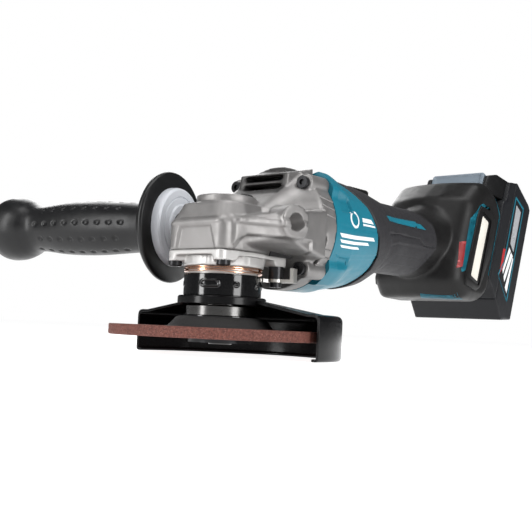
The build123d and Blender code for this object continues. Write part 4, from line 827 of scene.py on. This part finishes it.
# each label of the battery: outlines, finish, thickness
batteryLabels = {
    "Line": ([[(19.0, 44.0), (20.3, 44.0), (20.3, -12.0), (19.0, -12.0)],
              [(20.3, -12.0), (19.0, -12.0), (13.2, -26.0), (14.5, -26.5)],
              [(13.2, -26.0), (14.5, -26.5), (35.0, -38.2), (36.7, -40.0)],
              [(35.6, 42.0), (36.9, 42.5), (36.9, -39.0), (35.6, -38.0)],
              [(19.0, 44.0), (19.5, 45.6), (36.9, 43.4), (36.0, 41.8)]], "tealPlastic", 0.35),
    "Plate": ([[(23.0, 39.5), (32.5, 38.0), (32.5, 2.0), (24.5, 6.0)]], "silverPrint", 0.32),
    "Streaks": ([[(24.0, 2.0), (27.5, 0.5), (21.5, -22.0), (19.5, -19.0)],
                 [(28.5, 0.0), (32.5, -1.5), (26.5, -27.0), (23.5, -23.5)],
                 [(33.0, -2.5), (34.4, -3.5), (33.6, -33.5), (29.0, -30.5)]], "whitePrint", 0.32),
    "Badge": ([[(14.2, -3.5), (18.4, -2.0), (19.0, -19.0), (15.6, -24.5)]], "redPrint", 0.34),
}
for side, word in ((1, "left"), (-1, "right")):
    cheek = prism(cheekLook["outline"], side, cheekLook["inside"], cheekLook["outside"])
    # the outer side slopes towards the front
    for vert in cheek.verts:
        s, across, t = toLean(*(vert.co / mm))
        if abs(across) > 30:
            lean = max(0.0, (cheekLook["slopeFrom"] - s) / cheekLook["slopeLength"])
            vert.co = Vector(fromLean(s, side * (cheekLook["outside"] - cheekLook["slope"] * lean), t)) * mm
    bmesh.ops.bevel(cheek, geom=list(cheek.edges), offset=cheekLook["bevel"] * mm, affect="EDGES",
                    segments=2,
                    profile=0.5, material=-1)
    finishMesh(f"latchCheek_{word}", cheek, materials["handleRubber"], "battery", (), 30)
    for name, (outlines, finish, thick) in batteryLabels.items():
        patchPiece(f"battery{name}_{word}", outlines, onSide(side, 37.75), finish, "battery", thick)
print("battery")

# coloured strips under and over the rear housing
for name, outline, height, sign in (
    ("footStrip", [(-217, 4), (-226, 0), (-230, 33), (-220, 33)], 30.0, -1),
    ("crownStrip", [(-261, -2), (-268, 18), (-277, 18), (-272, -2)], 140.0, 1),
):
    strip = patchPiece(name, [outline], lambda x, y, lift: (x, y, height + sign * lift), "tealPlastic")
    wrapOn(strip, rearHousing, "z", 0.15)


# ---- gear housing: sand casting with sunk panels, a shelf along each side, ribs on the ring
castLook = {"panelDepth": 1.5, "sideDepth": 1.6, "shelf": 1.5, "noseShelf": 0.8}
webLook = {
    # plan of the flank between head and ring, then its lower and upper heights at each corner
    "plan": [(19, 24.2), (16, 25.2), (12, 26.2), (2, 30.5), (-6, 36.0), (-9, 38.2), (-12, 39.0),
             (-18, 39.5),
             (-24, 39.5), (-28, 39.2), (-46, 38.0), (-46, 20), (19, 20)],
    "low": [54.0, 58.0, 60.4, 60.6, 60.6, 60.4, 60.0, 58.5, 57.0, 55.0, 52.0, 50.0, 54.0],
    "high": [68.6, 69.0, 69.3, 69.8, 70.3, 72.0, 74.8, 76.2, 77.0, 77.5, 80.0, 84.0, 69.0],
}


def bothSides(count, place):
    # a closed block on each side; place(level, corner) gives its corners on the left side
    bm = bmesh.new()
    for side in (1, -1):
        part = bmesh.new()
        mirror = Vector((1, side, 1))
        sweepFace(part, count, [0, 1], lambda level, index: Vector(place(level, index)) * mirror)
        bmesh.ops.recalc_face_normals(part, faces=part.faces)
        mergeInto(bm, part)
    return bm


def flankPlace(level, index):
    return (*webLook["plan"][index], webLook["high" if level else "low"][index])


gearHousing = softCopy("gearHousing", "gear_housing", materials["castAluminium"], "tool_body", 0.85, 6,
                       bothSides(len(webLook["plan"]), flankPlace))
handleSeat = {"place": (-14.0, 40.0, 69.5), "lean": 12.0}
handleHole = {"lead": 6.0, "mouth": 5.3, "radius": 4.3, "depth": 17.0}
leanAcross, leanAlong = sin(radians(handleSeat["lean"])), cos(radians(handleSeat["lean"]))
holeCutter = bmesh.new()
spinProfile(holeCutter, [
    (0.0001, -handleHole["lead"]), (handleHole["mouth"], -handleHole["lead"]), (handleHole["mouth"], 0.4),
    (handleHole["radius"], 1.4), (handleHole["radius"], handleHole["depth"]), (0.0001, handleHole["depth"]),
], handleSeat["place"], (-leanAcross, -leanAlong, 0), 40)
bmesh.ops.recalc_face_normals(holeCutter, faces=holeCutter.faces)


def castRule(x, y, z):
    moved = [x, y, z]
    side = 1 if y > 0 else -1
    across = abs(y)
    if x > 20 and 50 < z < 68:
        # sunk panel in the nose
        share = (z - 51.5) / 13.0
        left, right = mix(-14.0, -11.2, share), mix(14.5, 10.4, share)
        moved[0] -= castLook["panelDepth"] * plateau(y, left, right, 0.9) * (1 - smoothStep(63.6, 64.8, z))
    if across > 21 and 51 < z < 64 and -31 < x < 24:
        # sunk lower panel along the side, cut off aslant at its front end
        front = mix(17.0, 10.5, (z - 51.5) / 9.0)
        sunk = plateau(x, -40.0, front, 1.0) * (1 - smoothStep(59.6, 60.9, z))
        moved[1] -= side * castLook["sideDepth"] * sunk
    if -24 < x < 26 and across > 14:
        # shelf where the wall turns in to the dome
        moved[1] += side * castLook["shelf"] * plateau(z, 66.6, 69.6, 1.0) * plateau(x, -20.0, 17.0, 3.0)
    if x > 12 and z > 60:
        moved[0] += castLook["noseShelf"] * plateau(z, 66.4, 68.4, 0.9) * plateau(y, -18.0, 18.0, 3.0)
    return moved


sculpt(gearHousing, castRule)
applyCut(gearHousing, holeCutter)
gearHousing.data.shade_smooth()

# raised ribs on both flanks of the ring: each from a place and angle to another
ribLook = {
    "ribs": [(-44.8, 28.0, -55.8, 24.6), (-44.6, 20.0, -55.2, 16.8), (-44.6, 12.0, -55.0, 9.0),
             (-45.2, -20.8, -54.5, -21.2), (-45.2, -27.8, -56.4, -28.9), (-47.0, -36.6, -56.6, -37.6)],
    "radius": 0.62,
}
bm = bmesh.new()
for side in (1, -1):
    for startX, startAngle, endX, endAngle in ribLook["ribs"]:
        ends = [Vector(bodyPoint(x, angle if side > 0 else 180 - angle))
                for x, angle in ((startX, startAngle), (endX, endAngle))]
        line = ends[1] - ends[0]
        turn = Vector((0, 0, 1)).rotation_difference(line.normalized()).to_matrix().to_4x4()
        made = bmesh.ops.create_uvsphere(bm, u_segments=12, v_segments=8,
                                         radius=ribLook["radius"] * mm)["verts"]
        for vert in made:
            vert.co.z += (line.length / 2 if vert.co.z > 0 else -line.length / 2) * mm
        bmesh.ops.transform(bm, verts=made, matrix=Matrix.Translation((ends[0] + line / 2) * mm) @ turn)
finishMesh("ringRibs", bm, materials["castAluminium"], "tool_body", (), 60)

# painted shade: dark plates low on both sides behind the bearing box stand for the shadow in the recess
# there
shadowPlateLook = {"corners": [(-9.0, 50.4), (-29.0, 50.4), (-30.5, 59.0), (-12.5, 59.4)], "inside": 25.2,
             "thick": 0.9}


def shadowPlatePlace(level, index):
    x, z = shadowPlateLook["corners"][index]
    return (x, shadowPlateLook["inside"] + level * shadowPlateLook["thick"], z)


# black sheets that stand for painted shade in the recess, not openings
finishMesh("recessShadowPlates", bothSides(len(shadowPlateLook["corners"]), shadowPlatePlace), materials["handleRubber"],
           "tool_body", (), 30)
print("gear housing")


# ---- bearing box: pads at its screws, arches between them
boxLook = {"pads": [(20.5, 18.2), (20.5, -18.2), (-25.0, -18.2), (-25.0, 18.2)], "padReach": 6.6,
           "padEdge": 2.4, "rise": 3.2, "boss": 20.4, "low": 45.0, "middle": 46.2, "high": 48.9}
bearingBox = softCopy("bearingBox", "bearing_box", materials["lightAluminium"], "tool_body", 0.7, 3)


def boxRule(x, y, z):
    if not boxLook["low"] < z < boxLook["high"] or sqrt(x * x + y * y) <= boxLook["boss"]:
        return None
    nearest = min(sqrt((x - px) ** 2 + (y - py) ** 2) for px, py in boxLook["pads"])
    share = smoothStep(boxLook["padReach"], boxLook["padReach"] + boxLook["padEdge"], nearest)
    if z < boxLook["middle"]:
        return (x, y, z + boxLook["rise"] * share)
    return (x, y, mix(z, boxLook["high"], share * 0.9))


sculpt(bearingBox, boxRule)


# ---- screws of the bearing box, each head with a star-shaped recess
screwLook = {"radius": 3.9, "height": 3.0, "segments": 24, "shoulder": 0.78, "star": 0.72, "shaft": 2.0,
             "depth": 6.0}


def screwMesh():
    # one screw that points up, the underside of its head at the origin
    bm = bmesh.new()
    radius, height = screwLook["radius"] * mm, screwLook["height"] * mm
    bmesh.ops.create_circle(bm, cap_ends=True, radius=radius, segments=screwLook["segments"])
    up = bmesh.ops.extrude_face_region(bm, geom=bm.faces[:])["geom"]
    top = next(item for item in up if isinstance(item, bmesh.types.BMFace))
    bmesh.ops.translate(bm, verts=top.verts, vec=(0, 0, height * screwLook["shoulder"]))
    for thickness, depth in ((radius * 0.16, height * (1 - screwLook["shoulder"])), (radius * 0.30, 0)):
        bmesh.ops.inset_individual(bm, faces=[top], thickness=thickness, depth=depth)
    for index, vert in enumerate(top.verts):
        if index % 4 > 1:
            vert.co.xy *= screwLook["star"]
    bmesh.ops.inset_individual(bm, faces=[top], thickness=0.02 * mm, depth=-height * 0.55)
    low = bmesh.ops.create_cone(bm, cap_ends=True, segments=20, radius1=screwLook["shaft"] * mm,
                                radius2=screwLook["shaft"] * mm, depth=screwLook["depth"] * mm)["verts"]
    bmesh.ops.translate(bm, verts=low, vec=(0, 0, -screwLook["depth"] / 2 * mm))
    return bm


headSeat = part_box("bearing_box_screws")[0].z / mm + screwLook["height"]
downwards = Vector((0, 0, 1)).rotation_difference(Vector((0, 0, -1))).to_matrix().to_4x4()
bm = bmesh.new()
for x, y in boxLook["pads"][:3]:
    screw = screwMesh()
    place = Matrix.Translation(Vector((x, y, headSeat)) * mm) @ downwards
    bmesh.ops.transform(screw, verts=screw.verts, matrix=place)
    mergeInto(bm, screw)
finishMesh("bearingBoxScrews", bm, materials["darkSteel"], "tool_body", ["bearing_box_screws"], 35)
print("bearing box")

# ---- wave springs: three thin rings that touch at their crests
springLook = {"rings": 3, "waves": 4, "inside": 18.6, "outside": 22.2, "thick": 0.44}
springLow, springHigh = (corner.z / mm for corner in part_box("wave_springs"))
bm = bmesh.new()
pitch = (springHigh - springLow) / springLook["rings"]
half = springLook["thick"] / 2
for ring in range(springLook["rings"]):
    middle = springLow + pitch * (ring + 0.5)
    start = len(bm.verts)
    corners = [(springLook["inside"], middle - half), (springLook["outside"], middle - half),
               (springLook["outside"], middle + half), (springLook["inside"], middle + half)]
    spinProfile(bm, corners + corners[:1], (0, 0, 0), (0, 0, 1), 96)
    bm.verts.ensure_lookup_table()
    for vert in bm.verts[start:]:
        angle = atan2(vert.co.y, vert.co.x)
        vert.co.z += (pitch / 2 - half) * mm * sin(springLook["waves"] * angle + pi * ring)
finishMesh("waveSprings", bm, materials["copper"], bodyOf("wave_springs"), ["wave_springs"], 40)

# ---- collar of the guard, with an embossed oblong and small dimples
collarLow, collarHigh = (corner.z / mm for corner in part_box("guard_collar"))
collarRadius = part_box("guard_collar")[1].y / mm
collarLook = {
    "marks": (23.0, 143.0, -97.0), "markHeight": 0.56, "markHalf": 3.6, "markRise": 0.45,
    "dimples": (-38.0, 62.0, 101.0, -140.0, 180.0), "dimpleRise": 0.35, "dimpleDepth": 0.5, "wall": 2.2,
    "rows": 44, "bevel": 0.5, "step": 0.35,
}


def collarLift(angle, z):
    up = z - mix(collarLow, collarHigh, collarLook["markHeight"])

    def away(centre):
        # distance round the collar from an angle
        return ((angle - centre + 180) % 360 - 180) * pi / 180 * collarRadius

    lift = 0.0
    for centre in collarLook["marks"]:
        outline = sqrt(max(0.0, abs(away(centre)) - collarLook["markHalf"]) ** 2 + up ** 2)
        lift += collarLook["markRise"] * plateau(outline, 1.3, 1.9, 0.35)
    for centre in collarLook["dimples"]:
        outline = sqrt(away(centre) ** 2 + (up + 0.4) ** 2)
        lift += collarLook["dimpleRise"] * plateau(outline, 1.0, 1.4, 0.3)
        lift -= collarLook["dimpleDepth"] * (1 - smoothStep(0.4, 0.9, outline))
    return lift


def scaleAcross(vert, factor):
    # moves a point straight towards or away from the upright axis
    vert.co.x *= factor
    vert.co.y *= factor


rows = collarLook["rows"]
inside, rounded = collarRadius - collarLook["wall"], collarRadius - collarLook["bevel"]
profile = [(inside, collarLow), (rounded, collarLow)]
profile += [(collarRadius - (0.0 if 1 < index < rows - 1 else collarLook["step"]),
             mix(collarLow, collarHigh, index / rows)) for index in range(rows + 1)]
profile += [(rounded, collarHigh), (inside, collarHigh), (inside, collarLow)]
bm = bmesh.new()
spinProfile(bm, profile, (0, 0, 0), (0, 0, 1), 320)
for vert in bm.verts:
    radius = vert.co.xy.length / mm
    if radius > collarRadius - 0.4:
        scaleAcross(vert, 1 + collarLift(degrees(atan2(vert.co.y, vert.co.x)), vert.co.z / mm) / radius)
finishMesh("guardCollar", bm, materials["guardPaint"], bodyOf("guard_collar"), ["guard_collar"], 50)
print("springs and collar")

# ---- guard: pressed sheet, half a turn of skirt and shoulder, with a whole neck under the collar
guardLook = {
    "skirt": [(68.5, -6.4), (68.5, 18.5), (60.5, 18.5), (24.5, 25.0), (24.5, 23.2), (60.5, 16.9),
              (66.9, 16.9),
              (66.9, -4.8), (64.0, -4.8), (64.0, -6.4)],
    "radii": [2.2, 4.6, 8.0, 0.4, 0.4, 8.0, 3.0, 0.7, 0.6, 0.6],
    "neck": [(19.8, 26.6), (24.3, 26.6), (25.0, 25.9), (25.0, 22.04), (23.3, 22.04), (23.3, 25.0),
             (19.8, 25.0)],
    "steps": 144, "edge": 0.35,
}
bm = bmesh.new()
skirt = roundedOutline(guardLook["skirt"], guardLook["radii"], 6)
ring = [bm.verts.new((0, radius * mm, height * mm)) for radius, height in skirt]
edges = list(bm.faces.new(ring).edges)
spun = bmesh.ops.spin(bm, geom=ring + edges, cent=(0, 0, 0), axis=(0, 0, 1), angle=pi,
                      steps=guardLook["steps"])
lastEdges = [item for item in spun["geom_last"] if isinstance(item, bmesh.types.BMEdge)]
bmesh.ops.contextual_create(bm, geom=lastEdges)
spinProfile(bm, guardLook["neck"] + guardLook["neck"][:1], (0, 0, 0), (0, 0, 1), 160)
wheelGuard = finishMesh("wheelGuard", bm, materials["guardShell"], bodyOf("wheel_guard"),
                        ["wheel_guard"], 32)
bevel = wheelGuard.modifiers.new("edges", "BEVEL")
bevel.width = guardLook["edge"] * mm
bevel.segments = 2
bevel.limit_method = "ANGLE"
bevel.angle_limit = radians(60)
bevel.harden_normals = False
print("guard")

# ---- grinding wheel: coarse rim, raised centre, smooth where the label lies
wheelBox = [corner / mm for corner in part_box("grinding_wheel")]
wheelRadius, wheelLow, hubTop = wheelBox[1].x, wheelBox[0].z, wheelBox[1].z
wheelLook = {
    "bore": 11.4, "hub": 22.0, "foot": 31.2, "thick": 5.8, "corner": 0.5, "rings": 20,
    # two sizes of grain on the rim: their fineness and depth
    "grain": [(900, 0.16), (2600, 0.12)], "grainTop": 0.16, "grainFrom": 32,
}


def ease(start, end, steps):
    return [mix(start, end, smoothStep(0, steps, step)) for step in range(steps + 1)]


rings, corner, bore = wheelLook["rings"], wheelLook["corner"], wheelLook["bore"]
rimTop, hubLow = wheelLow + wheelLook["thick"], hubTop - wheelLook["thick"]
outer = wheelRadius - corner
profile = [(bore, hubTop), (wheelLook["hub"], hubTop)]
profile += [(24.0 + 1.2 * step, height) for step, height in enumerate(ease(hubTop - 0.3, rimTop, 6))]
profile += [(mix(wheelLook["foot"], outer, step / rings), rimTop) for step in range(1, rings + 1)]
profile += [(wheelRadius, rimTop - corner - 0.8 * step) for step in range(7)] + [(outer, wheelLow)]
profile += [(mix(outer, 30.5, step / rings), wheelLow) for step in range(1, rings + 1)]
profile += [(29.5 - 1.1 * step, height) for step, height in enumerate(ease(wheelLow, hubLow, 6))]
profile += [(21.5, hubLow), (bore, hubLow), (bore, hubTop)]
bm = bmesh.new()
spinProfile(bm, profile, (0, 0, 0), (0, 0, 1), 360)
for vert in bm.verts:
    radius = vert.co.xy.length / mm
    if radius > wheelLook["grainFrom"]:
        rough = sum(noise.noise(vert.co * fineness) * depth for fineness, depth in wheelLook["grain"])
        scaleAcross(vert, 1 + min(0.0, rough - wheelLook["grainTop"]) / radius)
finishMesh("grindingWheel", bm, materials["abrasive"], bodyOf("grinding_wheel"), ["grinding_wheel"], 60)
print("wheel")

# ---- side handle: hard ring, hand guard, barrel with rows of dimples, round end
handleLook = {
    "origin": (-14.0, -40.0, 69.5), "rows": 10, "dimples": 9, "depth": 0.75, "size": (2.5, 2.0),
    "pitch": 8.6, "from": 38, "step": 0.6,
    "flange": [(0.001, 7.9), (15.2, 7.9), (15.2, 13.5), (33.2, 13.5), (34.0, 14.3), (34.25, 15.4),
               (34.0, 16.8),
               (33.0, 18.0), (26.0, 18.2), (20.5, 19.4), (17.6, 22.0), (16.2, 26.0)],
    "barrel": [(31, 15.6), (38, 15.6), (50, 16.4), (66, 17.3), (82, 17.4), (96, 16.8), (106, 15.7),
               (113, 15.0),
               (118, 15.2), (122, 16.6), (126, 18.6), (131, 20.3), (136, 21.0), (141, 20.9), (146, 19.4),
               (150, 16.2), (152.4, 11.6), (153.3, 6.5)],
    "end": [(8.6, 153.1), (4.0, 153.45), (0.001, 153.5)],
    "ring": [(9.0, 7.5), (12.6, 6.6), (13.2, 6.6), (14.0, 7.6), (17.6, 7.9), (18.0, 8.6), (18.6, 8.6),
             (19.0, 7.9),
             (22.6, 8.0), (23.8, 8.9), (24.2, 10.2), (24.2, 13.45), (9.0, 13.45), (9.0, 7.5)],
}
handleAxis = Vector((leanAcross, -leanAlong, 0))


def barrelRadius(height):
    # smooth curve through the barrel's radii
    barrel = handleLook["barrel"]
    index = max(i for i, row in enumerate(barrel[:-1]) if row[0] <= height)
    before, low, high, after = (barrel[max(0, index - 1)], barrel[index], barrel[index + 1],
                                barrel[min(len(barrel) - 1, index + 2)])
    length = high[0] - low[0]
    share = (height - low[0]) / length
    slopeLow = (high[1] - before[1]) / (high[0] - before[0]) * length
    slopeHigh = (after[1] - low[1]) / (after[0] - low[0]) * length
    square, cube = share ** 2, share ** 3
    return (2 * cube - 3 * square + 1) * low[1] + (cube - 2 * square + share) * slopeLow \
        + (3 * square - 2 * cube) * high[1] + (cube - square) * slopeHigh


heights = [31 + handleLook["step"] * step for step in range(int((152.4 - 31) / handleLook["step"]) + 1)]
profile = handleLook["flange"] + [(barrelRadius(height), height) for height in heights] + handleLook["end"]
bm = bmesh.new()
spinProfile(bm, profile, (0, 0, 0), (0, 0, 1), 220)
for vert in bm.verts:
    radius, height = vert.co.xy.length / mm, vert.co.z / mm
    if 34 < height < 116 and radius > 5:
        angle = degrees(atan2(vert.co.y, vert.co.x)) % 360
        step = 360 / handleLook["rows"]
        row = int(angle // step)
        off = (angle - (row + 0.5) * step) * pi / 180 * radius
        # every second row is shifted by half a pitch, and has one dimple less
        pitch, odd = handleLook["pitch"], row % 2
        index, placed = divmod(height - handleLook["from"] - odd * pitch / 2, pitch)
        if 0 <= index < handleLook["dimples"] - odd:
            sizeA, sizeB = handleLook["size"]
            reach = sqrt(((placed - pitch / 2) / sizeA) ** 2 + (off / sizeB) ** 2)
            scaleAcross(vert, 1 - handleLook["depth"] * (1 - smoothStep(0.35, 1.05, reach)) / radius)
turn = Vector((0, 0, 1)).rotation_difference(handleAxis).to_matrix().to_4x4()
bmesh.ops.transform(bm, verts=bm.verts, matrix=Matrix.Translation(Vector(handleLook["origin"]) * mm) @ turn)
finishMesh("handleGrip", bm, materials["handleRubber"], "side_handle", ["handle_grip"], 50)
bm = bmesh.new()
spinProfile(bm, handleLook["ring"], handleLook["origin"], handleAxis, 128)
finishMesh("handleRing", bm, materials["ringPlastic"], "side_handle", ["handle_ring"], 35)
print("side handle")

# ---- floor, light and camera
stageLook = {"floorDrop": 0.1, "floorSize": 8.0, "floorColour": (0.62, 0.62, 0.62), "floorGlow": 0.92,
             "seenWhite": 1.0, "skyColour": (0.95, 0.97, 1, 1), "skyLight": 0.10}
bm = bmesh.new()
bmesh.ops.create_grid(bm, x_segments=1, y_segments=1, size=stageLook["floorSize"] / 2)
bmesh.ops.translate(bm, verts=bm.verts, vec=(0, 0, cadBox[0].z - stageLook["floorDrop"] * mm))
floorMesh = bpy.data.meshes.new("floor")
bm.to_mesh(floorMesh)
bm.free()
floor = bpy.data.objects.new("floor", floorMesh)
bpy.context.collection.objects.link(floor)
floorPaint = grainMaterial("floorPaint", {"colour": stageLook["floorColour"], "roughness": 0.9,
                                          "spread": 0.01,
                                          "grain": 0.05, "specular": 0.0})
floorShader = floorPaint.node_tree.nodes["Principled BSDF"]
floorShader.inputs["Emission Color"].default_value = (1, 1, 1, 1)
floorShader.inputs["Emission Strength"].default_value = stageLook["floorGlow"]
floorMesh.materials.append(floorPaint)

world = bpy.data.worlds.new("studio")
bpy.context.scene.world = world
world.use_nodes = True
tree = world.node_tree
seen = addNode(tree, "ShaderNodeBackground", {"Color": (1, 1, 1, 1), "Strength": stageLook["seenWhite"]})
lit = tree.nodes["Background"]
lit.inputs["Color"].default_value = stageLook["skyColour"]
lit.inputs["Strength"].default_value = stageLook["skyLight"]
path = addNode(tree, "ShaderNodeLightPath")
choose = addNode(tree, "ShaderNodeMixShader", {
    "Fac": path.outputs["Is Camera Ray"], 1: lit.outputs["Background"], 2: seen.outputs["Background"]})
tree.links.new(choose.outputs["Shader"], tree.nodes["World Output"].inputs["Surface"])

lights = {
    "overhead": {"at": (-0.05, 0.10, 0.80), "aim": (-0.10, 0, 0.06), "size": (0.9, 0.35), "power": 4},
    "frontLeft": {"at": (0.75, -0.30, 0.30), "aim": (0, -0.05, 0.06), "size": (0.22, 0.8), "power": 6},
    "frontRight": {"at": (0.05, 0.85, 0.30), "aim": (-0.12, 0, 0.07), "size": (0.35, 0.7), "power": 6},
    "behind": {"at": (-0.60, -0.70, 0.55), "aim": (-0.1, 0, 0.08), "size": (0.6, 0.6), "power": 5},
}
for name, lamp in lights.items():
    data = bpy.data.lights.new(name, "AREA")
    data.shape = "RECTANGLE"
    data.size, data.size_y = lamp["size"]
    data.energy = lamp["power"]
    light = bpy.data.objects.new(name, data)
    bpy.context.collection.objects.link(light)
    light.location = lamp["at"]
    light.rotation_euler = (Vector(lamp["aim"]) - Vector(lamp["at"])).to_track_quat("-Z", "Y").to_euler()

cameraSetup = {"at": (0.3790, 0.3413, 0.0100), "yaw": 39.30, "pitch": 3.97, "roll": 2.6, "lens": 60.9}
yaw, pitch, roll = (radians(cameraSetup[key]) for key in ("yaw", "pitch", "roll"))
ahead = Vector((-cos(yaw) * cos(pitch), -sin(yaw) * cos(pitch), sin(pitch)))
right = ahead.cross(Vector((0, 0, 1))).normalized()
above = right.cross(ahead)
turned = right * cos(roll) + above * sin(roll)
upright = above * cos(roll) - right * sin(roll)
cameraData = bpy.data.cameras.new("camera")
cameraData.sensor_width = 36.0
cameraData.lens = cameraSetup["lens"]
cameraData.clip_start = 0.01
camera = bpy.data.objects.new("camera", cameraData)
bpy.context.collection.objects.link(camera)
camera.matrix_world = Matrix((
    (turned.x, upright.x, -ahead.x, cameraSetup["at"][0]),
    (turned.y, upright.y, -ahead.y, cameraSetup["at"][1]),
    (turned.z, upright.z, -ahead.z, cameraSetup["at"][2]),
    (0, 0, 0, 1),
))
bpy.context.scene.camera = camera
bpy.context.scene.view_settings.view_transform = "Standard"
print("stage set")
